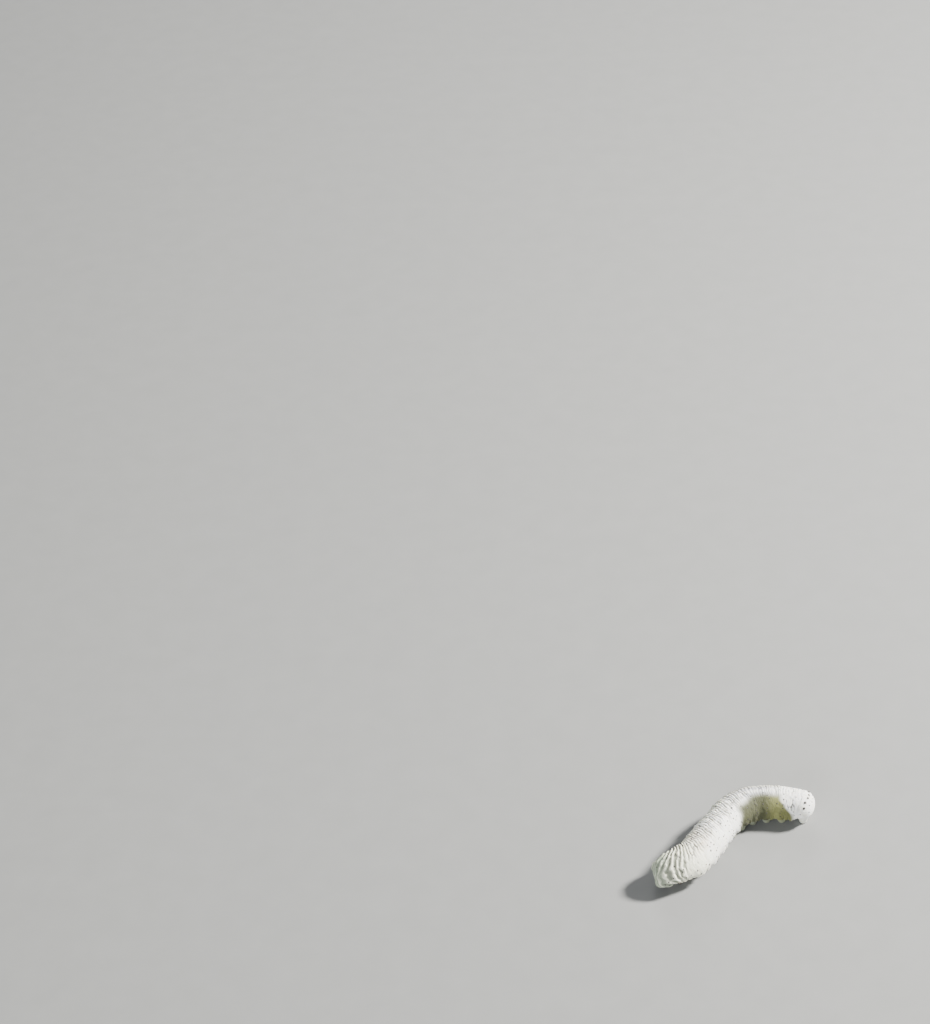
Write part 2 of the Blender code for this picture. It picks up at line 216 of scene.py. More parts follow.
def curve_through(points, t):
    """The point at t, from 0 to 1, on a smooth curve through the points (Catmull-Rom)."""
    spans = len(points) - 1
    i = min(int(t * spans), spans - 1)
    u = t * spans - i
    b, c = Vector(points[i]), Vector(points[i + 1])
    a = Vector(points[i - 1]) if i else 2 * b - c
    d = Vector(points[i + 2]) if i + 2 <= spans else 2 * c - b
    return 0.5 * (2 * b + (c - a) * u + (2 * a - 5 * b + 4 * c - d) * u**2 + (3 * b - a - 3 * c + d) * u**3)


def speckle(points, seed, size=1.0):
    """Smooth noise from -1 to 1 at each point, with features of a size."""
    offset = Vector((seed, -seed, 2 * seed))
    return np.array([noise.noise(Vector(point) / size + offset) for point in points])


class Segment:
    """A length of the body and the folds round it."""

    def __init__(self, name, start, length, height, shares):
        self.name, self.start, self.length = name, start, length
        self.end = start + length
        self.middle = start + length / 2
        self.folds, self.height, self.shares = len(shares), height, shares


def make_segments():
    segments, start = [], 0.0
    for name, length, height, shares in SEGMENT_ROWS:
        segments.append(Segment(name, start, length, height, shares))
        start += length
    return segments


SEGMENTS = make_segments()
LENGTH = SEGMENTS[-1].end
THORAX = SEGMENTS[:3]

# Where the tail's soft seam and, as (s, angle), the wrinkles before it are deepest
TAIL_SEAM_AT = LENGTH - 1.42
TAIL_WRINKLES_AT = (SEGMENTS[11].start + 0.15, 60)


class Midline:
    """The middle of the body, by distance from the front end."""

    def __init__(self, points, length):
        steps = [i / MIDLINE_SAMPLES for i in range(MIDLINE_SAMPLES + 1)]
        line = np.array([curve_through(points, t) for t in steps])
        run = np.concatenate(([0.0], np.cumsum(np.linalg.norm(np.diff(line, axis=0), axis=1))))
        run *= length / run[-1]
        first = (line[0] - line[1]) / (run[1] - run[0])
        last = (line[-1] - line[-2]) / (run[-1] - run[-2])
        self.line = np.vstack((line[0] + first, line, line[-1] + last))
        self.run = np.concatenate(([-1.0], run, [length + 1.0]))

    def point(self, s):
        return np.stack([np.interp(s, self.run, self.line[:, i]) for i in range(3)], axis=-1)

    def axes(self, s):
        """The directions to the left flank, the back and the front at s."""
        reach = 0.15
        front = self.point(s - reach) - self.point(s + reach)
        front /= np.linalg.norm(front, axis=-1, keepdims=True)
        left = np.cross((0.0, 0.0, 1.0), front)
        left /= np.linalg.norm(left, axis=-1, keepdims=True)
        return left, np.cross(front, left), front


def place_midline():
    """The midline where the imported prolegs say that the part's own layout lies."""
    line = Midline(MIDLINE, LENGTH)
    segment = SEGMENTS[5 + 2]
    left, _, _ = line.axes(segment.middle)
    sole = line.point(segment.middle) + left * PROLEG_OFFSET
    low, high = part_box("proleg_5_left")
    shift = (low + high) / 2 / METRES_PER_MM - Vector(sole)
    moved = [(x + shift.x, y + shift.y, z) for x, y, z in MIDLINE]
    return Midline(moved, LENGTH)


BODY = place_midline()


# Making pieces


def in_scene(name, data):
    made = bpy.data.objects.new(name, data)
    bpy.context.scene.collection.objects.link(made)
    return made


def mesh_object(bm, name, look):
    mesh = bpy.data.meshes.new(name)
    bm.to_mesh(mesh)
    bm.free()
    mesh.materials.append(look)
    mesh.shade_smooth()
    return in_scene(name, mesh)


def new_piece(bm, name, look):
    """Makes a mesh in millimetres a named piece in metres that rides on the body."""
    bmesh.ops.scale(bm, vec=(METRES_PER_MM,) * 3, verts=bm.verts)
    piece = mesh_object(bm, name, look)
    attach(piece, "root")
    return piece


def unit_ball(bm, sides, rings):
    return bmesh.ops.create_uvsphere(bm, u_segments=sides, v_segments=rings, radius=1)["verts"]


def mask(piece, name, values):
    """Stores a value from 0 to 1 for each point of a piece, for its material to read."""
    layer = piece.data.attributes.new(name, "FLOAT", "POINT")
    layer.data.foreach_set("value", np.ascontiguousarray(values, np.float32))


def face_outward(bm):
    if bm.calc_volume(signed=True) < 0:
        bmesh.ops.reverse_faces(bm, faces=bm.faces)


# The skin


def half_width(s):
    collar = COLLAR_SHARE + (1 - COLLAR_SHARE) * np.sin(math.pi / 2 * np.clip(s / COLLAR_ROUND, 0.0, 1.0))
    past = np.clip((s - (LENGTH - TAIL_ROUND)) / TAIL_ROUND, 0.0, 1.0)
    tail = (1 - past**TAIL_BLUNTNESS) ** (1 / TAIL_BLUNTNESS)
    return eased(GIRTH, s) * collar * tail


def lumps(s, angle, across, around, seed):
    """Noise from -1 to 1 that runs round the body with no seam, with a size along it and one round it."""
    turn = np.radians(angle)
    return speckle(np.stack((s / across, np.cos(turn) / around, np.sin(turn) / around), axis=-1), seed)


def plump(distance, reach):
    """A flat-topped swelling, 1 in the middle and nearly nothing past the reach."""
    return np.exp(-((distance / reach) ** 4))


def thorax_share(s):
    """1 in the thorax, 0 in the abdomen."""
    return 1 - smoothstep(*THORAX_TO_ABDOMEN, s)


def fold_place(s, angle):
    """The place on the back whose fold passes here: folds slant, and sweep back on the thorax's flanks."""
    steep = np.abs(angle)
    front = 1 - smoothstep(*SWEEP_FADE, s)
    lowness = 1 - np.cos(np.radians(np.minimum(steep, SWEEP_ANGLE)))
    sweep = FOLD_SWEEP * lowness * front * smoothstep(0.0, THORAX[0].end, s)
    upper = 1 - smoothstep(70, 110, steep) * (1 - front)
    slant = (FOLD_SLANT + (FRONT_SLANT - FOLD_SLANT) * front) * np.sin(np.radians(angle)) * upper
    return s - sweep + slant * (1 - smoothstep(*SLANT_END, s)) * smoothstep(-0.4, 0.4, s)


def cheek(s, angle):
    """1 where the prothorax's cheek is fullest, beside the head, and less over its brow."""
    full = bell(np.abs(angle) - CHEEK_ANGLE, CHEEK_ANGLE_REACH) + BROW_SHARE * bell(angle, BROW_ANGLE_REACH)
    return (1 - smoothstep(0.0, CHEEK_LENGTH, s)) * full


def segment_rows(s, *names):
    """The number of each place's segment, and the segment's values of those names."""
    ends = [segment.end for segment in SEGMENTS]
    index = np.clip(np.searchsorted(ends, s, side="right"), 0, len(SEGMENTS) - 1)
    return index, *(np.array([getattr(segment, name) for segment in SEGMENTS])[index] for name in names)


def fold_rows(s, angle):
    """The fold that passes each point: its place on the back, its segment's start, length and height,
    its own share of that height, and how far up its side the point lies, from 0 to 1."""
    drift = 0.15 * lumps(s, angle, 0.5, 0.28, 3.0) + 0.14 * lumps(s, angle, 1.1, 0.7, 8.0)
    q = np.clip(fold_place(s, angle) + drift * smoothstep(0.0, 0.5, s), -1.2, LENGTH - 0.001)
    index, start, length, folds, height = segment_rows(q, "start", "length", "folds", "height")
    place = np.minimum((q - start) / length, 0.9999) * folds
    shares = np.ones_like(s)
    for i, segment in enumerate(SEGMENTS):
        own = index == i
        shares[own] = np.array(segment.shares)[place[own].astype(int)]
    return q, start, length, height, shares, np.sin(math.pi * (place % 1.0))


def fold_fading(q, side, off_back, shares, wrapping, rear):
    """How much of a fold is left at each point: towards the flanks it fades, at a reach of its own."""
    own_reach = OWN_REACH * speckle(np.stack((q / 0.19, side, 0 * q), axis=-1), 5.0)
    own_reach += HIGH_FOLD_REACH * (shares > 0.9)
    own_reach *= (1 - 0.8 * wrapping) * (1 - 0.6 * rear)
    fade_from, fade_to = (
        usual + at_rear * rear + wrapped * wrapping for usual, at_rear, wrapped in (FADE_FROM, FADE_TO)
    )
    return 1 - 0.97 * smoothstep(fade_from, fade_to, off_back - own_reach)


def segment_lines(q, start, length, steep, off_back):
    """(how much the skin is drawn in, how dark the line is) between segments, from 0 to 1."""
    nearest = np.minimum(q - start, start + length - q)
    within = (q >= 0.3) & (q <= SEGMENTS[-1].middle)
    drawn_in = within * bell(nearest, SEGMENT_CREASE_REACH) * (1 - 0.75 * smoothstep(25, 70, steep))
    return drawn_in, within * bell(nearest, 0.045) * (1 - smoothstep(20, 60, off_back))


def fold_lift(s, angle):
    """(lift, crease, ridge) of the folds: how far out, how deep in a crease and how high on a ridge."""
    steep = np.abs(angle)
    off_back = np.abs(angle + FOLD_LEAN * smoothstep(*LEAN_SPAN, s))
    q, start, length, height, shares, wave = fold_rows(s, angle)
    wrapping = 1 - smoothstep(*WRAPPED_END, q)
    front = 1 - smoothstep(*CALM_END, q)
    rear = smoothstep(*REAR_SPAN, s)
    smooth_flank = 1 - 0.75 * smoothstep(*SMOOTH_FLANK_SPAN, s) * smoothstep(*SMOOTH_FLANK_ANGLES, angle)
    fading = fold_fading(q, np.sign(angle), off_back, shares, wrapping, rear)

    # Folds that wrap the body are sharp ridges that fork; those behind are round
    forked = np.clip(1 - np.abs(lumps(q, angle, 0.36, 0.8, 15.0)) / 0.2, 0, 1) ** 1.2
    sharp = np.clip(0.8 * wave**5 + 0.5 * forked, 0, 1.1)
    ridge = wave**0.9 * (1 - wrapping) + sharp * wrapping
    beads = lumps(s, angle, 0.2, 0.11, 9.0) * (1 - wrapping)
    beads += 1.3 * lumps(s, angle, 0.22, 0.13, 10.0) * wrapping
    uneven = np.clip(1 + 0.5 * lumps(s, angle, 0.6, 0.4, 6.0) + 0.5 * beads, 0.2, 1.8)
    calm = 1 - 0.5 * front * (1 - wrapping) - 0.2 * wrapping
    rim = 1 - (1 - smoothstep(-0.1, 0.7, s)) * smoothstep(40, 85, steep)
    low_down = 1 - 0.6 * wrapping * smoothstep(92, 118, steep)
    strong = height * shares * uneven * calm * rim * low_down
    lift = strong * (ridge - 0.5 + 0.2 * wrapping) * fading * (1.15 - 0.6 * rear)

    # The creases between them are fine and broken, and coarse between the wrapping ones
    broken = smoothstep(-0.3, 0.25, lumps(q, angle, 0.12, 0.22, 16.0))
    fine = (1 - wave) ** 1.3 * broken * (1 - 0.8 * rear) * (1 - 0.35 * front)
    coarse = 0.55 * (1 - wave) ** 3 * (1 - 0.6 * forked) * uneven
    folded = np.where(height > 0, fading, 0.0)
    crease = (fine * (1 - wrapping) + coarse * wrapping) * folded * smooth_flank

    drawn_in, line = segment_lines(q, start, length, steep, off_back)
    lift -= SEGMENT_CREASE * drawn_in * (1 - 0.4 * rear) * (1 - 0.6 * front)
    line *= 0.35 * (0.4 + 0.6 * broken) * (1 - 0.85 * rear)
    high = 1 - folded * (1 - ridge * np.clip(uneven, 0, 1))
    return lift * smooth_flank, np.maximum(crease, line), high


def lobe_rows(s, middle, steep, rows):
    return sum(
        height * plump(s - middle - behind, reach) * bell(steep - angle, angle_reach)
        for height, behind, reach, angle, angle_reach in rows
    )


def flank_lift(s, angle):
    """Lobes along each flank, two rows of them, and the faint creases between. Returns (lift, crease)."""
    steep = np.abs(angle)
    index, start, length = segment_rows(s, "start", "length")
    middle = start + length / 2
    rear = smoothstep(*REAR_FULL_SPAN, s)
    uneven = 1 + 0.45 * speckle(np.stack((index / 1.7, np.sign(angle), 0 * s), axis=-1), 7.0)
    uneven *= 1 + 0.3 * lumps(s, angle, 0.45, 0.3, 17.0)
    uneven *= 1 + (THORAX_LOBE_SHARE - 1) * thorax_share(s)
    lift = uneven * lobe_rows(s, middle, steep, VARIED_LOBES) + lobe_rows(s, middle, steep, EVEN_LOBES)
    lift += REAR_FULLNESS * rear * bell(steep - 128, 22)

    groove = bell(steep - 101 - 4 * np.sin(2 * math.pi * (s - start) / length), 3.2)
    low_groove = bell(steep - 128, 3.0) * plump(s - middle, 0.6)
    notch = bell(s - middle - 0.3, 0.07) * bell(steep - 116, 18)
    end_notch = bell(length / 2 - np.abs(s - middle), 0.09) * bell(steep - 118, 20)
    lift -= 0.03 * (groove + low_groove) + (0.09 * notch + 0.07 * end_notch) * (1 - 0.5 * rear)
    on_body = (1 - smoothstep(-0.8, 0.1, s - SEGMENTS[-1].start)) * smoothstep(0.0, 0.4, s)
    hollows = np.maximum(0.35 * np.maximum(groove, low_groove), np.maximum(0.5 * notch, 0.3 * end_notch))
    return lift * on_body, hollows * on_body * (1 - 0.5 * rear)


def wrinkle_lift(s, angle):
    """(lift, crease) of small lumps all over, wrinkles before the tail and a soft seam across it."""
    steep = np.abs(angle)
    soft = lumps(s, angle, 0.34, 0.2, 12.0)
    small = lumps(s, angle, 0.13, 0.13, 1.0)
    fine = lumps(s, angle, 0.06, 0.06, 2.0)
    rough = 0.45 + 0.55 * np.maximum(1 - smoothstep(30, 62, steep), smoothstep(98, 112, steep))
    rough = np.where(s < THORAX[-1].end, 1.3, rough)
    hollow = smoothstep(0.25, 0.7, -small) * rough

    before_tail = plump(s - TAIL_WRINKLES_AT[0], 0.8) * bell(steep - TAIL_WRINKLES_AT[1], 36)
    lines = np.abs(lumps(s + 0.25 * np.sin(np.radians(angle)), angle, 0.3, 0.5, 18.0))
    wrinkled = np.clip(1 - lines / 0.15, 0, 1)
    seam = bell(s - TAIL_SEAM_AT + 0.05 * np.sin(steep / 20), 0.09) * smoothstep(35, 70, steep)
    lift = 0.024 * soft + rough * (0.02 * small + 0.01 * fine)
    lift -= 0.08 * wrinkled * before_tail + 0.03 * seam
    crease = np.maximum(np.maximum(0.25 * seam, 0.3 * hollow), 0.95 * before_tail * wrinkled**1.5)
    return lift, crease


def section_shape(s, angle):
    """How far out sideways and up a cross section reaches at an angle, for a half width of 1."""
    turn = np.radians(angle)
    upright = np.cos(turn)
    share = BELLY_SHARE + (THORAX_BELLY_SHARE - BELLY_SHARE) * thorax_share(s)
    share -= THROAT_CUT * (1 - smoothstep(*THROAT_SPAN, s))
    low = -share * np.abs(upright) ** BELLY_FLATNESS
    return np.sin(turn), np.where(upright < 0, low, upright)


# The collar rolls in at the front and hugs the head: (place, reach of the section, round radius, ahead)
COLLAR = (
    (0.0, 1.0, 1.0, 0.0),
    (0.12, 0.985, 1.0, 0.06),
    (0.25, 0.93, 0.98, 0.09),
    (0.38, 0.85, 0.95, 0.05),
    (0.5, 0.76, 0.9, -0.08),
    (0.65, 0.7, 0.83, -0.28),
    (0.82, 0.6, 0.6, -0.62),
    (1.0, 0.0, 0.0, -0.7),
)
COLLAR_ROUNDED = (0.3, 0.62)
COLLAR_CHEEK_END = (0.4, 0.9)


def columns(rows):
    return (np.array(column) for column in zip(*rows))


def skin_points(s, angle):
    """(points, creases, ridges) of the skin. Below 0, s runs over the collar, to its pole at -1."""
    along = np.clip(s, 0.0, LENGTH)
    left, back, front = BODY.axes(along)
    width = half_width(along)
    lift, crease, ridge = fold_lift(along, angle)
    lobes, hollows = flank_lift(along, angle)
    wrinkles, seams = wrinkle_lift(along, angle)
    lift = (lift + lobes + wrinkles) * np.minimum(width, 1.0)
    crease = np.maximum(np.maximum(crease, hollows), seams)
    side, upright = section_shape(along, angle)
    beside = cheek(along, angle)
    reach = (width + lift + CHEEK_HEIGHT * beside)[:, None]
    offset = left * side[:, None] * reach + back * upright[:, None] * reach
    rolled = np.clip(-s, 0.0, 1.0)
    places, reaches, radii, ahead = columns(COLLAR)
    shrunk = offset * np.interp(rolled, places, reaches)[:, None]
    turn = np.radians(angle)
    ring = left * np.sin(turn)[:, None] + back * np.cos(turn)[:, None]
    ring *= np.interp(rolled, places, radii)[:, None]
    roundness = smoothstep(*COLLAR_ROUNDED, rolled)[:, None]
    offset = shrunk * (1 - roundness) + ring * roundness
    ahead = np.interp(rolled, places, ahead)
    ahead += CHEEK_AHEAD * beside * (1 - smoothstep(*COLLAR_CHEEK_END, rolled))
    return BODY.point(along) + offset + front * ahead[:, None], crease, ridge


class Foot:
    """Where a leg or proleg leaves the body."""

    def __init__(self, name, s, side, offset):
        left, _, front = BODY.axes(s)
        self.name = name
        self.outward = Vector(left * side)
        self.forward = Vector((front[0], front[1], 0)).normalized()
        self.place = Vector(BODY.point(s)) + self.outward * offset
        self.place.z = 0.0


def make_feet():
    legs, prolegs = [], []
    for side, hand in ((1, "left"), (-1, "right")):
        for segment in THORAX:
            ahead = FIRST_LEG_AHEAD if segment is THORAX[0] else 0.0
            legs.append(Foot(f"leg_{segment.name}_{hand}", segment.middle + ahead, side, LEG_OFFSET))
        for i in range(2, 9):
            prolegs.append(Foot(f"proleg_{i}_{hand}", SEGMENTS[i + 2].middle, side, PROLEG_OFFSET))
        s = SEGMENTS[-1].start + ANAL_PROLEG_SET_BACK
        prolegs.append(Foot(f"anal_proleg_{hand}", s, side, ANAL_PROLEG_OFFSET))
    return legs, prolegs


LEGS, PROLEGS = make_feet()

# Rows of (how far a belly point lies from a foot's middle, its new radius, its share of the belly's height)
PROLEG_SHAPE = (
    (0.0, 0.0, 0.0),
    (0.26, 0.22, 0.0),
    (0.36, 0.31, 0.03),
    (0.44, 0.37, 0.13),
    (0.52, 0.405, 0.27),
    (0.6, 0.41, 0.38),
    (0.7, 0.46, 0.54),
    (0.8, 0.52, 0.71),
    (0.9, 0.6, 0.88),
    (1.0, 0.74, 1.0),
)
LEG_SEAT_SHAPE = (
    (0.0, 0.0, 0.0),
    (0.4, 0.22, 0.0),
    (0.6, 0.34, 0.1),
    (0.75, 0.4, 0.42),
    (0.88, 0.48, 0.8),
    (1.0, 0.6, 1.0),
)


# Over these angles the skin goes from the flank, which the feet leave alone, to the belly
BELLY_EDGE = (96, 124)


def pull_down(points, steep, foot, shape, reach, floor):
    """Draws the belly's points over a foot down into its shape, between the floor height and the belly."""
    away = points[:, :2] - np.array(foot.place[:2])
    distance = np.linalg.norm(away, axis=1)
    near = (distance < reach) & (steep > BELLY_EDGE[0])
    was = points[near].copy()
    pulled = smoothstep(*BELLY_EDGE, steep[near])[:, None]
    t = distance[near] / reach
    places, radii, shares = columns(shape)
    scale = np.interp(t, places, radii) / np.maximum(distance[near], 1e-6)
    points[near, :2] = np.array(foot.place[:2]) + away[near] * scale[:, None]
    share = np.interp(t, places, shares)
    points[near, 2] = floor + (points[near, 2] - floor) * share
    points[near] = was + (points[near] - was) * pulled
    return near


def skin_stations():
    """The place of each ring of the skin, from the collar's pole to the tail's."""
    rings = [-1 + i / COLLAR_RINGS for i in range(COLLAR_RINGS)]
    for segment in SEGMENTS[:-1]:
        count = segment.folds * (THORAX_FOLD_RINGS if segment in THORAX else FOLD_RINGS)
        rings += [segment.start + segment.length * i / count for i in range(count)]
    rings += [SEGMENTS[-1].start]
    turns = np.linspace(0, math.pi / 2, TAIL_RINGS)
    rings += [LENGTH - TAIL_ROUND + TAIL_ROUND * math.sin(turn) for turn in turns]
    return np.array(rings)


def skin_angles(raw):
    """Evenly spread angles, drawn closer together over the prolegs."""
    steps = np.linspace(0, 180, 181)
    density = 1 + PROLEG_CLOSENESS * bell(steps - PROLEG_ANGLE, PROLEG_ANGLE_REACH)
    total = np.concatenate(([0.0], np.cumsum((density[1:] + density[:-1]) / 2)))
    return np.sign(raw) * np.interp(np.abs(raw), total / total[-1] * 180, steps)


# The markings of the skin, in s and degrees: the olive stain on the left flank, part gut showing through
# and part painted shade, with its front, its upper edge there, how far that edge drops behind and how
# soft it is, its rear edge on the back, how far it slants and how soft it is, and the stain's share of
# strength that the right flank has
STAIN_AND_SHADE_FRONT = (10.3, 11.9)
STAIN_AND_SHADE_TOP = 32
STAIN_AND_SHADE_TOP_DROP = 16
STAIN_AND_SHADE_TOP_EDGE = (-14, 18)
STAIN_AND_SHADE_REAR = 16.8
STAIN_AND_SHADE_REAR_SLANT = 1.5
STAIN_AND_SHADE_REAR_EDGE = (-0.35, 0.2)
STAIN_AND_SHADE_RIGHT_SHARE = 0.45

# The stretches over which the painted shade on the stain's front half, the hood's painted shade and the
# thorax's tones (cream ridges, painted shade in their valleys) end
FLANK_SHADE_END = (14.6, 16.5)
HOOD_END = (0.7, 1.8)
THORAX_TONE_END = (2.4, 5.8)

# Soft patches, as (s, reach, angle, reach): the two of shade and the tan one, on both sides alike
SHADES = ((14.2, 2.3, 16, 16), (12.0, 0.9, 95, 30))
TAN_PATCH = (4.9, 1.3, 22, 24)
BACK_LINE_REACH = 3.0


def patch(s, steep, place, reach, angle, angle_reach):
    return bell(s - place, reach) * bell(steep - angle, angle_reach)


def skin_markings(s, angle, crease, ridge):
    """The strength of each marking, and of each patch of painted shade, from 0 to 1, over the skin."""
    steep = np.abs(angle)
    cloudy = lumps(s, angle, 1.2, 0.8, 4.0)
    left = smoothstep(-10, 30, angle)
    forward = s + 0.3 * cloudy + 0.7 * smoothstep(45, 100, steep)
    # The olive stain: part gut showing through, part painted shade over the shaded left flank
    stain_and_shade = 0.9 * smoothstep(*STAIN_AND_SHADE_FRONT, forward) + 0.1 * smoothstep(13.4, 16.2, s)
    top = STAIN_AND_SHADE_TOP - STAIN_AND_SHADE_TOP_DROP * smoothstep(11.5, 14.2, s)
    stain_and_shade *= smoothstep(top + STAIN_AND_SHADE_TOP_EDGE[0], top + STAIN_AND_SHADE_TOP_EDGE[1], steep + 4 * cloudy)
    rear = STAIN_AND_SHADE_REAR + STAIN_AND_SHADE_REAR_SLANT * smoothstep(30, 100, steep) + 0.2 * cloudy
    stain_and_shade *= 1 - smoothstep(rear + STAIN_AND_SHADE_REAR_EDGE[0], rear + STAIN_AND_SHADE_REAR_EDGE[1], s)
    low_end = 0.35 * smoothstep(16.4, 17.2, s) * smoothstep(60, 85, steep)
    swept = fold_place(np.clip(s, 0, LENGTH), angle)
    # Painted shade, greenish, over the folds on the right of the back
    right_fold_shade = smoothstep(-8, -46, angle) * smoothstep(3.0, 5.0, s) * (1 - smoothstep(9.5, 12.5, s))
    return {
        "crease": np.clip(crease * (1 - 0.6 * stain_and_shade), 0, 1),
        "ridge": np.clip(ridge, 0, 1),
        "thorax": 1 - smoothstep(*THORAX_TONE_END, s + 0.4 * cloudy),
        # Painted shade: a grey-green tint over the front of the prothorax
        "hood_shade": 1 - smoothstep(*HOOD_END, swept + 0.2 * cloudy),
        "stain_and_shade": stain_and_shade * (STAIN_AND_SHADE_RIGHT_SHARE + (1 - STAIN_AND_SHADE_RIGHT_SHARE) * left),
        "shade": sum(patch(s, steep, *shade) for shade in SHADES),
        # Painted shade: near-black over the stain's front half and its low rear end, on the left flank only
        "flank_shade": stain_and_shade * np.maximum(1 - smoothstep(*FLANK_SHADE_END, s), low_end) * left,
        "back": bell(steep, BACK_LINE_REACH) * smoothstep(2.5, 4.5, s),
        "tan": patch(s, steep, *TAN_PATCH),
        # A grey-green tint on the belly, and the painted shade over the right side's folds
        "under": np.maximum(smoothstep(112, 150, steep), right_fold_shade),
    }


def make_skin(look):
    """The whole body's skin: a ball whose rings are laid along the body and drawn down to the feet."""
    stations = skin_stations()
    last = len(stations) - 1
    bm = bmesh.new()
    unit_ball(bm, SKIN_SIDES, last)
    ball = np.array([vert.co for vert in bm.verts])
    ring = np.rint(np.arctan2(np.hypot(ball[:, 0], ball[:, 1]), ball[:, 2]) / math.pi * last).astype(int)
    s = stations[ring]
    angle = skin_angles(np.degrees(np.arctan2(ball[:, 1], ball[:, 0])))
    points, crease, ridge = skin_points(s, angle)
    steep = np.abs(angle)
    worked = np.zeros(len(points), bool)
    for foot in PROLEGS:
        worked |= pull_down(points, steep, foot, PROLEG_SHAPE, PROLEG_REACH, 0.0)
    for foot in LEGS:
        worked |= pull_down(points, steep, foot, LEG_SEAT_SHAPE, LEG_REACH, LEG_SEAT_HEIGHT - LEG_SEAT_SUNK)
    verts = list(bm.verts)
    for vert, point in zip(verts, points):
        vert.co = point
    soft = [vert for vert, chosen in zip(verts, worked) if chosen]
    for _ in range(2):
        bmesh.ops.smooth_vert(bm, verts=soft, factor=0.4, use_axis_x=True, use_axis_y=True, use_axis_z=True)
    face_outward(bm)
    skin = new_piece(bm, "skin", look)
    for name, values in skin_markings(s, angle, crease, ridge).items():
        mask(skin, name, values)
    names = [x.name for x in THORAX] + [f"abdomen_{i}_{i + 1}" for i in (1, 3, 5, 7)]
    names += [x.name for x in SEGMENTS[-2:]] + [foot.name for foot in PROLEGS]
    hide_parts(*names)


# Materials


def new_material(name):
    made = bpy.data.materials.new(name)
    made.use_nodes = True
    return made, made.node_tree, made.node_tree.nodes["Principled BSDF"]


def add(tree, kind, **inputs):
    made = tree.nodes.new(kind)
    for name, value in inputs.items():
        made.inputs[name.replace("_", " ")].default_value = value
    return made


def plug(socket, value):
    """Links a socket to another one, or sets it to a number or a colour."""
    if isinstance(value, bpy.types.NodeSocket):
        socket.id_data.links.new(value, socket)
    else:
        socket.default_value = value if socket.type == "VALUE" else (*value, 1.0)


def mix(share, first, second):
    """A colour mixed from first to second by the socket of their share."""
    made = share.id_data.nodes.new("ShaderNodeMix")
    made.data_type = "RGBA"
    for i, value in ((0, share), (6, first), (7, second)):
        plug(made.inputs[i], value)
    return made.outputs[2]


def sums(operation, first, second):
    made = first.id_data.nodes.new("ShaderNodeMath")
    made.operation = operation
    plug(made.inputs[0], first)
    plug(made.inputs[1], second)
    return made.outputs[0]


def times(first, second):
    return sums("MULTIPLY", first, second)


def stretch(value, low, high, to_low=0.0, to_high=1.0):
    made = value.id_data.nodes.new("ShaderNodeMapRange")
    made.interpolation_type = "SMOOTHSTEP"
    plug(made.inputs["Value"], value)
    for name, setting in zip(("From Min", "From Max", "To Min", "To Max"), (low, high, to_low, to_high)):
        made.inputs[name].default_value = setting
    return made.outputs["Result"]


def read(tree, name):
    made = tree.nodes.new("ShaderNodeAttribute")
    made.attribute_name = name
    return made.outputs["Fac"]


def per_mm(size):
    """The scale of a texture whose features are a size in millimetres across."""
    return 1 / (size * METRES_PER_MM)


def make_grain_group():
    """Noise in object space at three sizes: a coarse mottle, a fine mottle and the height of granules."""
    group = bpy.data.node_groups.new("fine grain", "ShaderNodeTree")
    for name in ("Coarse", "Fine", "Granule"):
        group.interface.new_socket(name=name, in_out="INPUT", socket_type="NodeSocketFloat")
    for name in ("Coarse Mask", "Fine Mask", "Height"):
        group.interface.new_socket(name=name, in_out="OUTPUT", socket_type="NodeSocketFloat")
    start, end = group.nodes.new("NodeGroupInput"), group.nodes.new("NodeGroupOutput")
    where = group.nodes.new("ShaderNodeTexCoord").outputs["Object"]
    masks = []
    for name, detail in (("Coarse", 3.0), ("Fine", 5.0)):
        cloud = add(group, "ShaderNodeTexNoise", Detail=detail, Roughness=0.6)
        plug(cloud.inputs["Vector"], where)
        plug(cloud.inputs["Scale"], start.outputs[name])
        masks.append(stretch(cloud.outputs["Fac"], 0.3, 0.7))
    cells = add(group, "ShaderNodeTexVoronoi", Randomness=1.0)
    cells.feature = "SMOOTH_F1"
    cells.inputs["Smoothness"].default_value = 0.6
    plug(cells.inputs["Vector"], where)
    plug(cells.inputs["Scale"], start.outputs["Granule"])
    bumps = stretch(cells.outputs["Distance"], 0.0, 0.75, 1.0, 0.0)
    height = sums("ADD", times(bumps, 0.6), times(masks[1], 0.7))
    for value, socket in zip((*masks, height), end.inputs):
        plug(socket, value)
    return group


GRAIN = make_grain_group()


def grain(tree, coarse, fine, granule):
    made = tree.nodes.new("ShaderNodeGroup")
    made.node_tree = GRAIN
    for name, size in (("Coarse", coarse), ("Fine", fine), ("Granule", granule)):
        made.inputs[name].default_value = per_mm(size)
    return made.outputs["Coarse Mask"], made.outputs["Fine Mask"], made.outputs["Height"]


def bump(shader, height, strength, depth_mm):
    made = add(shader.id_data, "ShaderNodeBump", Strength=strength, Distance=depth_mm * METRES_PER_MM)
    plug(made.inputs["Height"], height)
    plug(shader.inputs["Normal"], made.outputs["Normal"])


WAX = (0.88, 0.88, 0.86)
WAX_WARM = (0.84, 0.825, 0.76)
WAX_CREAM = (0.87, 0.86, 0.68)
# Grey-olive skin where the wax is thin, also used as painted shade over the right of the back
BARE_SKIN_AND_SHADE = (0.5, 0.545, 0.42)
FOLD_SHADE = (0.12, 0.122, 0.1)
# Painted shade in the valleys between the thorax's ridges
THORAX_VALLEY_SHADE = (0.18, 0.2, 0.13)
# Grey-green: painted shade over the hood, and the line down the back
HOOD_GREY = (0.27, 0.33, 0.24)

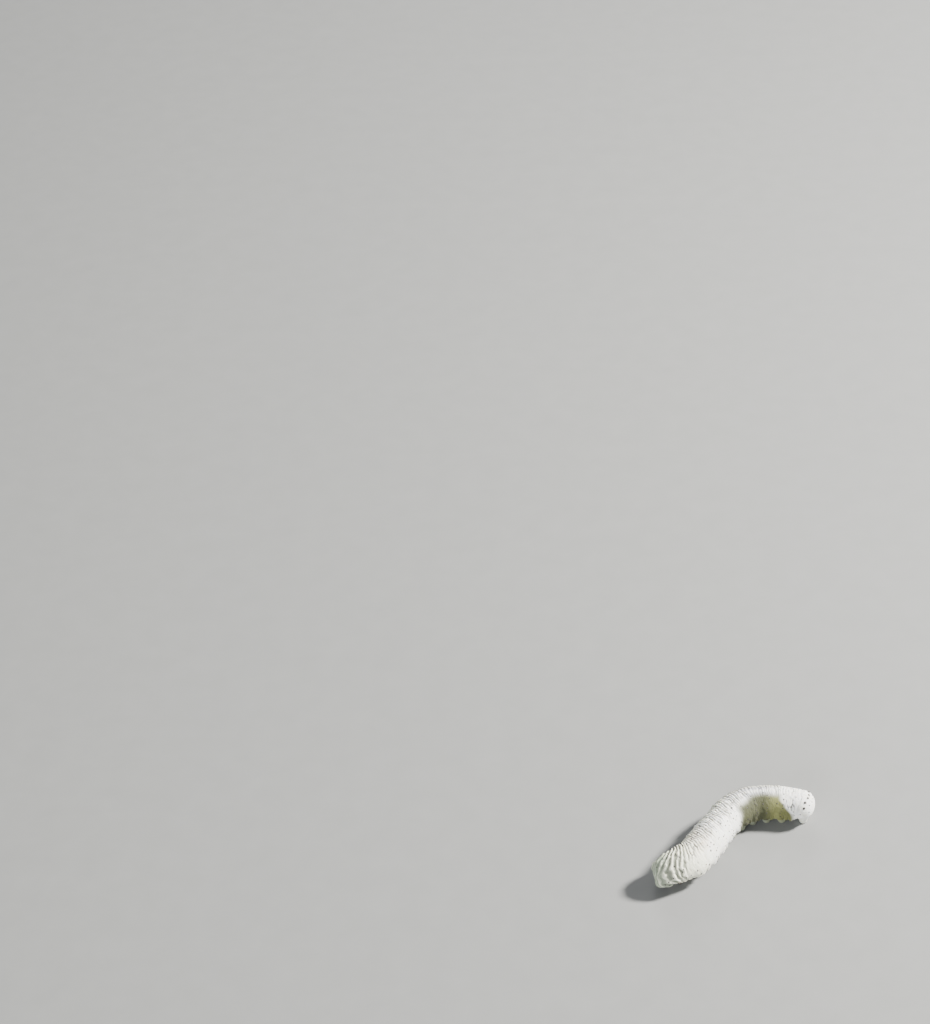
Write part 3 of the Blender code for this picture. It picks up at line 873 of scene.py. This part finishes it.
# The markings' tints and painted shade, one over the other: (marking, strength, colour, whether patches of
# wax thin it)
TINTS = (
    # Hood: painted shade over the front of the prothorax
    ("hood_shade", 0.7, HOOD_GREY, True),
    ("tan", 0.35, (0.5, 0.36, 0.2), True),
    ("shade", 0.95, (0.27, 0.275, 0.33), True),
    # Olive stain: part gut showing through, part painted shade on the left flank
    ("stain_and_shade", 0.95, (0.15, 0.155, 0.032), False),
    # Painted shade over the front half of the stained left flank
    ("flank_shade", 0.88, (0.022, 0.025, 0.012), False),
    ("back", 0.25, HOOD_GREY, True),
    # Belly tint, and painted shade over the right side's folds
    ("under", 0.5, BARE_SKIN_AND_SHADE, True),
)


def skin_material():
    look, tree, shader = new_material("waxy skin")
    coarse, fine, height = grain(tree, 0.7, 0.12, 0.035)
    patchy = stretch(coarse, 0.0, 1.0, 0.7, 1.0)
    colour = mix(coarse, WAX, WAX_WARM)
    colour = mix(times(stretch(fine, 0.5, 0.95), 0.2), colour, BARE_SKIN_AND_SHADE)
    # The thorax's ridges are cream; the valleys between them get painted shade
    ridges_and_valley_shade = mix(stretch(read(tree, "ridge"), 0.1, 0.75), THORAX_VALLEY_SHADE, WAX_CREAM)
    colour = mix(times(read(tree, "thorax"), 0.85), colour, ridges_and_valley_shade)
    for name, strength, tint, thinned in TINTS:
        share = times(read(tree, name), patchy) if thinned else read(tree, name)
        colour = mix(times(share, strength), colour, tint)
    # Painted shade in the creases, hollows, seams and lines between segments
    colour = mix(stretch(read(tree, "crease"), 0.06, 0.75, 0.0, 0.92), colour, FOLD_SHADE)
    plug(shader.inputs["Base Color"], colour)
    plug(shader.inputs["Roughness"], stretch(fine, 0.0, 1.0, 0.82, 0.62))
    bump(shader, height, 0.8, 0.012)
    shader.inputs["Subsurface Weight"].default_value = 0.15
    shader.inputs["Subsurface Radius"].default_value = (1.0, 0.85, 0.6)
    shader.inputs["Subsurface Scale"].default_value = 0.2 * METRES_PER_MM
    shader.inputs["Sheen Weight"].default_value = 0.04
    shader.inputs["Sheen Roughness"].default_value = 0.5
    shader.inputs["Specular IOR Level"].default_value = 0.25
    return look


def horn_material(name, dark, light, roughness, coat, fleck=0.25):
    """Hard horny skin: dark with a lighter mottle, polished by its coat."""
    look, tree, shader = new_material(name)
    coarse, fine, height = grain(tree, 0.35, 0.06, 0.02)
    plug(shader.inputs["Base Color"], mix(times(times(coarse, fine), fleck), dark, light))
    plug(shader.inputs["Roughness"], stretch(fine, 0.0, 1.0, roughness, roughness + 0.14))
    bump(shader, height, 0.14, 0.006)
    shader.inputs["Coat Weight"].default_value = coat
    shader.inputs["Coat Roughness"].default_value = 0.12
    return look


def leg_material():
    """Dark horny plates with pale soft skin where the joints bend."""
    look, tree, shader = new_material("leg plates")
    coarse, fine, height = grain(tree, 0.2, 0.05, 0.02)
    plate = mix(coarse, (0.035, 0.026, 0.02), (0.1, 0.07, 0.045))
    soft = mix(fine, (0.62, 0.61, 0.53), (0.5, 0.49, 0.4))
    joint = stretch(read(tree, "joint"), 0.35, 0.65)
    plug(shader.inputs["Base Color"], mix(joint, plate, soft))
    plug(shader.inputs["Roughness"], stretch(joint, 0.0, 1.0, 0.3, 0.7))
    bump(shader, height, 0.3, 0.006)
    return look


# Dots, bristles and spiracles


def on_skin(places):
    """(point, outward direction) on the skin for each (s, angle)."""
    step, turn = 0.03, 1.5
    s, angle = (np.array([place[i] for place in places]) for i in range(2))
    middle, ahead, behind, higher, lower = (
        skin_points(s + along, angle + round_body)[0]
        for along, round_body in ((0, 0), (step, 0), (-step, 0), (0, turn), (0, -turn))
    )
    out = np.cross(ahead - behind, higher - lower)
    out /= np.linalg.norm(out, axis=1, keepdims=True)
    out *= np.sign(np.einsum("ij,ij->i", out, middle - BODY.point(s)))[:, None]
    return [(Vector(point), Vector(normal)) for point, normal in zip(middle, out)]


# Dots: the radius of one of size 1, its height and its least width as shares of that, the range of
# sizes, the size below which none is set, how far each strays along s and round the body, and how much
# larger they are in front
DOT_RADIUS = 0.078
DOT_HEIGHT = 0.42
DOT_LEAST_WIDTH = 0.75
DOT_SIZES = (0.45, 1.15)
SMALLEST_DOT = 0.58
DOT_STRAY = 0.12
DOT_STRAY_ANGLE = 5
FRONT_DOT_GAIN = 0.32
FRONT_DOT_SPAN = (4.5, 8.5)

# Rows of dots round a segment, as (share of its length, angles), and the dots on its flanks and its tail
FRONT_DOT_ROWS = ((0.72, (12, 30, 50, 70, 88)),)
THORAX_DOT_ROWS = ((0.25, (14, 34, 52, 68)), (0.6, (8, 25, 44, 61, 80)))
ABDOMEN_DOT_ROWS = ((0.25, (10, 27, 43, 58)), (0.58, (16, 35, 50, 66)))
FLANK_DOTS = ((0.62, 77), (0.4, 108), (0.58, 117), (0.45, 127), (0.72, 92))
TAIL_DOTS = (
    (0.62, 33, 2.0),
    (0.78, 10, 1.9),
    (0.6, 57, 1.9),
    (1.04, 40, 0.9),
    (1.2, 14, 0.9),
    (1.1, 76, 0.9),
    (0.3, 84, 0.8),
    (0.2, 22, 0.7),
)

# The bristle on a dot: its size, where its middle stands over the skin and how far it may lean
BRISTLE_RADIUS = 0.006
BRISTLE_TIP_RADIUS = 0.002
BRISTLE_LENGTH = 0.07
BRISTLE_MIDDLE = (0, 0, 0.05)
BRISTLE_LEAN = 0.6


def dot_places():
    """Where dark dots sit, as (s, angle, size): loose rows round each segment and groups on its flanks."""
    places = []
    for segment in SEGMENTS[:-1]:
        rows = THORAX_DOT_ROWS if segment in THORAX else ABDOMEN_DOT_ROWS
        if segment is THORAX[0]:
            rows = FRONT_DOT_ROWS
        spots = [(share, angle) for share, angles in rows for angle in angles] + list(FLANK_DOTS)
        places += [(segment.start + segment.length * share, angle) for share, angle in spots]
    both = []
    for s, angle in places:
        for side in (1, -1):
            size = random.uniform(*DOT_SIZES)
            if size > SMALLEST_DOT:
                size *= 1 + FRONT_DOT_GAIN * float(1 - smoothstep(*FRONT_DOT_SPAN, s))
                strayed = s + random.gauss(0, DOT_STRAY)
                both.append((strayed, side * (angle + random.gauss(0, DOT_STRAY_ANGLE)), size))
    for s, angle, size in TAIL_DOTS:
        both += [(SEGMENTS[-1].start + s, side * angle, size) for side in (1, -1)]
    return both


def turned_to(direction, spin=0.0):
    turn = Vector((0, 0, 1)).rotation_difference(direction).to_matrix().to_4x4()
    return turn @ Matrix.Rotation(spin, 4, "Z")


def add_ball(bm, place, radius, shape, turn=Matrix.Identity(4), fineness=4):
    """A ball, drawn out along its three axes by its shape, turned and set at a place."""
    at = Matrix.Translation(place) @ turn @ Matrix.Diagonal((*shape, 1))
    bmesh.ops.create_icosphere(bm, subdivisions=fineness, radius=radius, matrix=at)


def add_bristle(bm, at, radius, length):
    """A stiff hair that narrows to its tip, in the frame of its middle."""
    tip = BRISTLE_TIP_RADIUS
    bmesh.ops.create_cone(
        bm, cap_ends=True, segments=5, radius1=radius, radius2=tip, depth=length, matrix=at
    )


def make_dots(spots, dot_look, bristle_look):
    domes, bristles = bmesh.new(), bmesh.new()
    for (point, out), (_, _, size) in zip(on_skin(spots), spots):
        turn = turned_to(out, random.uniform(0, math.tau))
        shape = (1, random.uniform(DOT_LEAST_WIDTH, 1), DOT_HEIGHT)
        add_ball(domes, point, DOT_RADIUS * size, shape, turn, 2)
        lean_x, lean_y = (random.uniform(-BRISTLE_LEAN, BRISTLE_LEAN) for _ in range(2))
        lean = Vector((lean_x, lean_y, 1)).normalized()
        hair = Matrix.Translation(point) @ turn @ turned_to(lean) @ Matrix.Translation(BRISTLE_MIDDLE)
        add_bristle(bristles, hair, BRISTLE_RADIUS, BRISTLE_LENGTH * size)
    pieces = new_piece(domes, "dark_dots", dot_look), new_piece(bristles, "bristles", bristle_look)


# Spiracles: the share of the segment and the angle at which one sits, its outer and upper radius, how
# high it stands, how narrow it is, and the widths of its rim and of the wall round its slit
SPIRACLE_AT = (0.42, 86)
SPIRACLE_RADII = (0.085, 0.06)
SPIRACLE_HEIGHT = 0.03
SPIRACLE_NARROWING = 0.7
SPIRACLE_RIM = 0.018
SPIRACLE_WALL = 0.012
SLIT_DEPTH = 0.02


def make_spiracles(look):
    """The breathing holes: an oval dark rim round a slit, on each flank of most segments."""
    share, steep = SPIRACLE_AT
    segments = [THORAX[0]] + SEGMENTS[3:11]
    places = [(x.start + x.length * share, side * steep) for x in segments for side in (1, -1)]
    bm = bmesh.new()
    for (point, out), (s, _) in zip(on_skin(places), places):
        _, back, _ = BODY.axes(s)
        tall = (Vector(back) - out * out.dot(Vector(back))).normalized()
        turn = Matrix((out.cross(tall) * SPIRACLE_NARROWING, tall, out)).transposed().to_4x4()
        at = Matrix.Translation(point + out * 0.4 * SPIRACLE_HEIGHT) @ turn
        low, high = SPIRACLE_RADII
        made = bmesh.ops.create_cone(
            bm, cap_ends=True, segments=20, radius1=low, radius2=high, depth=SPIRACLE_HEIGHT, matrix=at
        )
        ends = [face for vert in made["verts"] for face in vert.link_faces if len(face.verts) > 4]
        top = max(ends, key=lambda face: face.calc_center_median().dot(out) - point.dot(out))
        bmesh.ops.inset_region(bm, faces=[top], thickness=SPIRACLE_RIM, depth=0.0)
        bmesh.ops.inset_region(bm, faces=[top], thickness=SPIRACLE_WALL, depth=-SLIT_DEPTH)
    new_piece(bm, "spiracles", look)


# Legs


def sideways(ahead):
    """Two directions square to a direction and to one another."""
    across = Vector((0.3, 0.2, 1)).cross(ahead).normalized()
    return across, across.cross(ahead)


def add_tube(bm, path, radii, rings, sides):
    """A tube with round ends along a smooth path, its radius eased between the (place, radius) given."""
    for vert in unit_ball(bm, sides, rings):
        t = math.atan2(math.hypot(vert.co.x, vert.co.y), vert.co.z) / math.pi
        around = math.atan2(vert.co.y, vert.co.x)
        ahead = (curve_through(path, min(t + 0.02, 1)) - curve_through(path, max(t - 0.02, 0))).normalized()
        across, over = sideways(ahead)
        radius = float(eased(radii, np.array([t]))[0])
        vert.co = curve_through(path, t) + (across * math.cos(around) + over * math.sin(around)) * radius


def add_barrel(bm, start, end, root, tip, sides=22, rings=16, blunt=5):
    """One joint of a limb: a barrel with round rims, narrowing from its root to its tip."""
    ahead = (end - start).normalized()
    across, over = sideways(ahead)
    verts = unit_ball(bm, sides, rings)
    for vert in verts:
        x, y, z = vert.co
        t = (1 - z) / 2
        spread = (1 - min(abs(z), 1) ** blunt) ** 0.4
        radius = (root + (tip - root) * t) * spread / max(math.hypot(x, y), 1e-6)
        vert.co = start + (end - start) * t + (across * x + over * y) * radius
    return verts


# The joints of a leg: where each starts and ends (out, down), its radius at both and how soft its skin is
LEG_JOINTS = (
    ((0.0, 0.1), (0.03, -0.27), 0.36, 0.33, 0.85),
    ((0.1, -0.03), (0.13, -0.2), 0.24, 0.25, 0.0),
    ((0.03, -0.2), (0.06, -0.36), 0.29, 0.27, 1.0),
    ((0.06, -0.28), (0.02, -0.53), 0.27, 0.24, 0.0),
    ((0.02, -0.48), (-0.03, -0.6), 0.2, 0.19, 1.0),
    ((0.0, -0.54), (-0.14, -0.74), 0.22, 0.165, 0.0),
    ((-0.12, -0.69), (-0.17, -0.78), 0.125, 0.11, 1.0),
    ((-0.14, -0.74), (-0.23, -0.87), 0.13, 0.085, 0.0),
)
CLAW_PATH = ((-0.19, -0.8), (-0.26, -0.9), (-0.33, -0.955), (-0.41, -0.965))
CLAW_RADII = ((0.0, 0.0), (0.1, 0.06), (0.35, 0.062), (0.8, 0.025), (1.0, 0.0))

# Bristles on each horny joint: how many, their size, the stretch of the joint that has them, how far
# down they point, and where their middle stands over the joint, whose surface is a little within
BRISTLES_PER_PLATE = 5
LEG_BRISTLE_RADIUS = 0.008
LEG_BRISTLE_LENGTH = 0.13
LEG_BRISTLE_SPAN = (0.35, 0.85)
LEG_BRISTLE_DROP = Vector((0, 0, -0.3))
LEG_BRISTLE_MIDDLE = 0.05
PLATE_SURFACE = 0.93


def make_leg(foot, look, bristle_look):
    """A leg of horny plates and soft joints with its claw, and its bristles as a piece of their own."""

    def at(out, down):
        level = Vector((0, 0, LEG_SEAT_HEIGHT + down))
        return foot.place + foot.outward * out + level - foot.forward * LEG_FORWARD * down

    bm = bmesh.new()
    softness = bm.verts.layers.float.new("joint")
    for start, end, root, tip, soft in LEG_JOINTS:
        for vert in add_barrel(bm, at(*start), at(*end), root, tip):
            vert[softness] = soft
    add_tube(bm, [at(*place) for place in CLAW_PATH], CLAW_RADII, 20, 12)
    leg = new_piece(bm, foot.name + "_horn", look)
    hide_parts(foot.name)
    bm = bmesh.new()
    for start, end, root, tip, soft in LEG_JOINTS:
        if soft < 0.5:
            for _ in range(BRISTLES_PER_PLATE):
                share = random.uniform(*LEG_BRISTLE_SPAN)
                turn = random.uniform(0, math.tau)
                round_leg = foot.outward * math.cos(turn) + foot.forward * math.sin(turn)
                out = (round_leg + LEG_BRISTLE_DROP).normalized()
                radius = root + (tip - root) * share
                point = at(*start).lerp(at(*end), share) + out * radius * PLATE_SURFACE
                hair = Matrix.Translation(point + out * LEG_BRISTLE_MIDDLE) @ turned_to(out)
                add_bristle(bm, hair, LEG_BRISTLE_RADIUS, LEG_BRISTLE_LENGTH)
    new_piece(bm, foot.name + "_bristles", bristle_look)


# Head


def head_frame():
    """The head's own frame: x to its left, y to its crown, z out of its face."""
    left, back, front = BODY.axes(0.0)
    made = Matrix((Vector(left), Vector(back), Vector(front))).transposed().to_4x4()
    made.translation = Vector(BODY.point(0.0)) + Vector(front) * HEAD_REACH
    return made


HEAD = head_frame()


def narrowing(up):
    """How much narrower the head is towards the mouth."""
    return 1 - JAW_TAPER * float(smoothstep(*JAW_SPAN, up))


def flattened(z):
    return z * (1 - FACE_FLATNESS * float(smoothstep(*FACE_SPAN, z)))


# The head's seams: where the crown's forks into two arms, how fast those part, where they end, the
# reach of both from their middle, and how far back on the head they start
SUTURE_FORK = 0.22
SUTURE_SLOPE = 0.62
SUTURE_END = (-0.62, -0.5)
CROWN_REACH = 0.028
ARM_REACH = 0.03
SUTURE_BACK = -0.2

# How deep the seams and the hollows round the feelers are, the hollows' reach, and the soft unevenness
# of the whole capsule
SUTURE_DEPTH = 0.03
HOLLOW_DEPTH = 0.045
HOLLOW_REACH = 0.13
DENT_DEPTH = 0.008
DENT_SIZE = 0.34


def suture(x, y, z):
    """How deep in one of the head's seams a place lies: down the crown, then in two arms over the face."""
    if z < SUTURE_BACK:
        return 0.0
    crown = bell(x, CROWN_REACH) * float(smoothstep(0.12, 0.24, y))
    arms = bell(abs(x) - SUTURE_SLOPE * (SUTURE_FORK - y), ARM_REACH)
    arms *= float(smoothstep(0.24, 0.16, y)) * float(smoothstep(*SUTURE_END, y))
    return max(crown, arms)


def capsule_point(x, y, z):
    """A point of the head capsule for a point of the unit ball, in the head's frame."""
    point = Vector((x * narrowing(y) * HEAD_HALF[0], y * HEAD_HALF[1], flattened(z) * HEAD_HALF[2]))
    away = math.hypot(abs(point.x) - ANTENNA_AT[0], point.y - ANTENNA_AT[1])
    hollow = bell(away, HOLLOW_REACH) if z > 0 else 0.0
    dent = speckle([Vector((x, y, z))], 14.0, DENT_SIZE)[0]
    return point * (1 - SUTURE_DEPTH * suture(x, y, z) - HOLLOW_DEPTH * hollow + DENT_DEPTH * dent)


def face_place(x, y):
    """(point, outward direction) on the face, x to the head's left and y to its crown."""
    up = y / HEAD_HALF[1]
    across = x / HEAD_HALF[0] / narrowing(up)
    z = flattened(math.sqrt(max(1 - up * up - across * across, 0.0))) * HEAD_HALF[2]
    out = Vector((x / HEAD_HALF[0] ** 2, y / HEAD_HALF[1] ** 2, z / HEAD_HALF[2] ** 2)).normalized()
    return Vector((x, y, z)), out


def add_plate(bm, middle, half, thickness, taper, notch):
    """A raised plate bowed with the face; notch cuts up into the middle of its lower edge."""
    for vert in unit_ball(bm, 48, 28):
        x, y, z = (math.copysign(abs(value) ** 0.62, value) for value in vert.co)
        rise = notch * bell(x, 0.28) * float(smoothstep(0.2, -1.0, y))
        point, out = face_place(middle[0] + x * half[0] * (1 + taper * y), middle[1] + y * half[1] + rise)
        vert.co = point + out * thickness * z


def add_rim(bm, point, out, radius, tube):
    """A round rim: a small circle turned once about the direction that the rim faces."""
    turn = Matrix.Translation(point) @ turned_to(out)
    at = turn @ Matrix.Translation((radius, 0, 0)) @ Matrix.Rotation(math.pi / 2, 4, "X")
    ring = bmesh.ops.create_circle(bm, segments=12, radius=tube, matrix=at)["verts"]
    edges = list({edge for vert in ring for edge in vert.link_edges})
    turned = ring + edges
    bmesh.ops.spin(
        bm, geom=turned, cent=point, axis=out, angle=math.tau, steps=40, use_merge=True, use_duplicate=False
    )


def add_feeler(bm, point, out, joints):
    """A short feeler of barrels, each (length, root, tip), one out of the other."""
    for length, root, tip in joints:
        end = point + out * length
        add_barrel(bm, point - out * 0.02, end, root, tip, 18, 12)
        point = end


ANTENNA_JOINTS = (
    (0.07, 0.13, 0.12),
    (0.06, 0.105, 0.098),
    (0.06, 0.085, 0.078),
    (0.05, 0.065, 0.06),
    (0.08, 0.045, 0.03),
)
PALP_JOINTS = ((0.08, 0.075, 0.07), (0.07, 0.058, 0.054), (0.06, 0.044, 0.04), (0.06, 0.03, 0.02))

# The left palps: where each starts, which way it points and its joints
PALPS = (
    ((0.35, -0.72, 0.14), (0.2, -0.75, 0.62), PALP_JOINTS),
    ((0.09, -0.78, 0.06), (0.1, -0.8, 0.5), PALP_JOINTS[1:]),
)

# The plates over the mouth, as (middle, half its size, thickness, taper, notch), and, as (place, half
# sizes), the soft cushions beside the mouth and under it
LIP_PLATES = (
    ((0.0, -0.45), (0.27, 0.1), 0.035, 0.12, 0.0),
    ((0.0, -0.62), (0.19, 0.1), 0.05, 0.1, 0.07),
)
SIDE_CUSHION = ((0.33, -0.68, 0.06), (0.15, 0.13, 0.17))
CHIN_CUSHION = ((0, -0.7, 0.0), (0.2, 0.15, 0.2))


def on_side(place, side):
    """A place on the left of the head, or its mirror image on the right."""
    return Vector((side * place[0], place[1], place[2]))


def head_piece(bm, name, slot, look, *nodes):
    face_outward(bm)
    bmesh.ops.transform(bm, matrix=HEAD, verts=bm.verts)
    piece = new_piece(bm, name, look)
    if nodes:
        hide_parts(*nodes)


def make_mandible(hand, side, look):
    """A stout jaw that narrows, and curves in and ahead, to a toothed edge."""
    bm = bmesh.new()
    for vert in unit_ball(bm, 40, 40):
        x, y, z = vert.co
        t = (1 - y) / 2
        wide = 1 - MANDIBLE_TAPER * t
        teeth = TOOTH_HEIGHT * math.cos(TOOTH_TURNS * z) * t**6
        inward, ahead = MANDIBLE_INWARD * t * t, MANDIBLE_AHEAD * t
        point = Vector((
            x * wide * MANDIBLE_HALF[0] - inward,
            y * MANDIBLE_HALF[1] + teeth,
            z * wide * MANDIBLE_HALF[2] + ahead,
        ))
        vert.co = on_side(point + Vector(MANDIBLE_AT), side)
    head_piece(bm, f"jaw_{hand}", "claw", look, f"mandible_{hand}")


def make_head(look, eye_look, horn_look, soft_look):
    bm = bmesh.new()
    for vert in unit_ball(bm, 160, 120):
        vert.co = capsule_point(*vert.co)
    head_piece(bm, "head_capsule", "capsule", look, "head")

    plates, rims, cushions, palps = (bmesh.new() for _ in range(4))
    for plate in LIP_PLATES:
        add_plate(plates, *plate)
    head_piece(plates, "lip_plates", "capsule", horn_look)
    for side, hand in ((1, "left"), (-1, "right")):
        point = on_side(EYE_AT, side)
        out = Vector(point[i] / HEAD_HALF[i] ** 2 for i in range(3)).normalized()
        add_rim(rims, point + out * 0.015, out, EYE_RIM_RADIUS, EYE_RIM_THICKNESS)
        bm = bmesh.new()
        add_ball(bm, point, EYE_RADIUS, (1, 1, 0.72), turned_to(out))
        head_piece(bm, f"simple_eye_{hand}", "eye", eye_look, f"eye_{hand}")

        point, out = face_place(side * ANTENNA_AT[0], ANTENNA_AT[1])
        out = (out + Vector((side * 0.15, 0, 0.2))).normalized()
        add_ball(cushions, point - out * 0.03, ANTENNA_CUSHION, (1, 1, 0.45), turned_to(out))
        bm = bmesh.new()
        add_feeler(bm, point, out, ANTENNA_JOINTS)
        head_piece(bm, f"feeler_{hand}", "capsule", look, f"antenna_{hand}")

        make_mandible(hand, side, horn_look)
        add_ball(cushions, on_side(SIDE_CUSHION[0], side), 1, SIDE_CUSHION[1])
        for start, way, joints in PALPS:
            add_feeler(palps, on_side(start, side), on_side(way, side).normalized(), joints)
    add_ball(cushions, CHIN_CUSHION[0], 1, CHIN_CUSHION[1])
    head_piece(rims, "eye_rims", "capsule", look)
    head_piece(cushions, "mouth_cushions", "capsule", soft_look)
    head_piece(palps, "palps", "claw", horn_look)


# Stage, lights and camera

CAMERA_LENS = 85.0
PHOTO_SIZE = (930, 1024)
PIXELS_PER_MM = 10.0
AIM_PIXEL = (732.0, 834.6)
AIM_HEIGHT = 2.0
VIEW_ELEVATION = 45.0


def make_camera():
    """Looks at the larva from the photo's side, and is panned so that it lies where the photo has it."""
    camera = bpy.data.cameras.new("camera")
    camera.lens = CAMERA_LENS
    pixels_per_radian = PHOTO_SIZE[1] / (camera.sensor_width / camera.lens)
    distance = pixels_per_radian / PIXELS_PER_MM * METRES_PER_MM
    elevation = math.radians(VIEW_ELEVATION)
    towards_camera = Vector((0, -math.cos(elevation), math.sin(elevation)))
    pan = math.atan((AIM_PIXEL[0] - PHOTO_SIZE[0] / 2) / pixels_per_radian)
    tilt = math.atan((AIM_PIXEL[1] - PHOTO_SIZE[1] / 2) / pixels_per_radian)
    holder = in_scene("camera", camera)
    aim = Vector((0, 0, AIM_HEIGHT * METRES_PER_MM))
    look_at = towards_camera.to_track_quat("Z", "Y").to_matrix().to_4x4()
    turn = Matrix.Rotation(pan, 4, "Y") @ Matrix.Rotation(tilt, 4, "X")
    holder.matrix_world = Matrix.Translation(aim + towards_camera * distance) @ look_at @ turn
    camera.clip_start = 0.001
    camera.clip_end = 20
    bpy.context.scene.camera = holder


# The floor is level out to the first distance, then curves up to a wall, in metres
FLOOR_REACH = 3.0
FLOOR_CURVE = (0.7, 1.9)
WALL_HEIGHT = 1.3


def make_floor():
    bm = bmesh.new()
    bmesh.ops.create_grid(bm, x_segments=120, y_segments=120, size=FLOOR_REACH)
    for vert in bm.verts:
        vert.co.z = WALL_HEIGHT * float(smoothstep(*FLOOR_CURVE, math.hypot(vert.co.x, vert.co.y)))
    look, tree, shader = new_material("pale floor")
    cloud = add(tree, "ShaderNodeTexNoise", Scale=per_mm(3.0), Detail=3.0)
    plug(cloud.inputs["Vector"], tree.nodes.new("ShaderNodeTexCoord").outputs["Object"])
    grey = mix(cloud.outputs["Fac"], (0.2, 0.204, 0.2), (0.225, 0.229, 0.225))
    plug(shader.inputs["Base Color"], grey)
    shader.inputs["Roughness"].default_value = 0.9
    floor = mesh_object(bm, "floor", look)


def make_light(name, place_mm, size_mm, power, colour):
    light = bpy.data.lights.new(name, "AREA")
    light.shape = "DISK"
    light.size = size_mm * METRES_PER_MM
    light.energy = power
    light.color = colour
    lamp = in_scene(name, light)
    lamp.location = Vector(place_mm) * METRES_PER_MM
    lamp.rotation_euler = lamp.location.to_track_quat("Z", "Y").to_euler()


def make_lights():
    make_light("key", (290, 90, 250), 60, 8.4, (1.0, 0.975, 0.93))
    make_light("fill", (-170, -370, 140), 240, 1.9, (0.95, 0.97, 1.0))
    make_light("back", (-60, 380, 240), 200, 1.0, (1.0, 1.0, 1.0))
    world = bpy.data.worlds.new("studio")
    world.use_nodes = True
    world.node_tree.nodes["Background"].inputs["Color"].default_value = (0.88, 0.9, 0.92, 1.0)
    world.node_tree.nodes["Background"].inputs["Strength"].default_value = 0.32
    bpy.context.scene.world = world


def main():
    wax = skin_material()
    black = horn_material("polished black head", (0.008, 0.007, 0.006), (0.03, 0.022, 0.016), 0.2, 0.6)
    brown = horn_material("brown horn", (0.06, 0.03, 0.015), (0.16, 0.08, 0.035), 0.3, 0.4)
    dot = horn_material("dark dots", (0.035, 0.031, 0.028), (0.09, 0.078, 0.066), 0.45, 0.1)
    eye = horn_material("polished eye", (0.004, 0.004, 0.005), (0.012, 0.01, 0.012), 0.06, 1.0)
    cushion = horn_material("leathery cushions", (0.17, 0.15, 0.12), (0.3, 0.27, 0.21), 0.55, 0.0, 0.8)
    legs = leg_material()
    make_skin(wax)
    make_dots(dot_places(), dot, brown)
    make_spiracles(dot)
    for foot in LEGS:
        make_leg(foot, legs, brown)
    make_head(black, eye, brown, cushion)
    make_floor()
    make_lights()
    make_camera()


main()
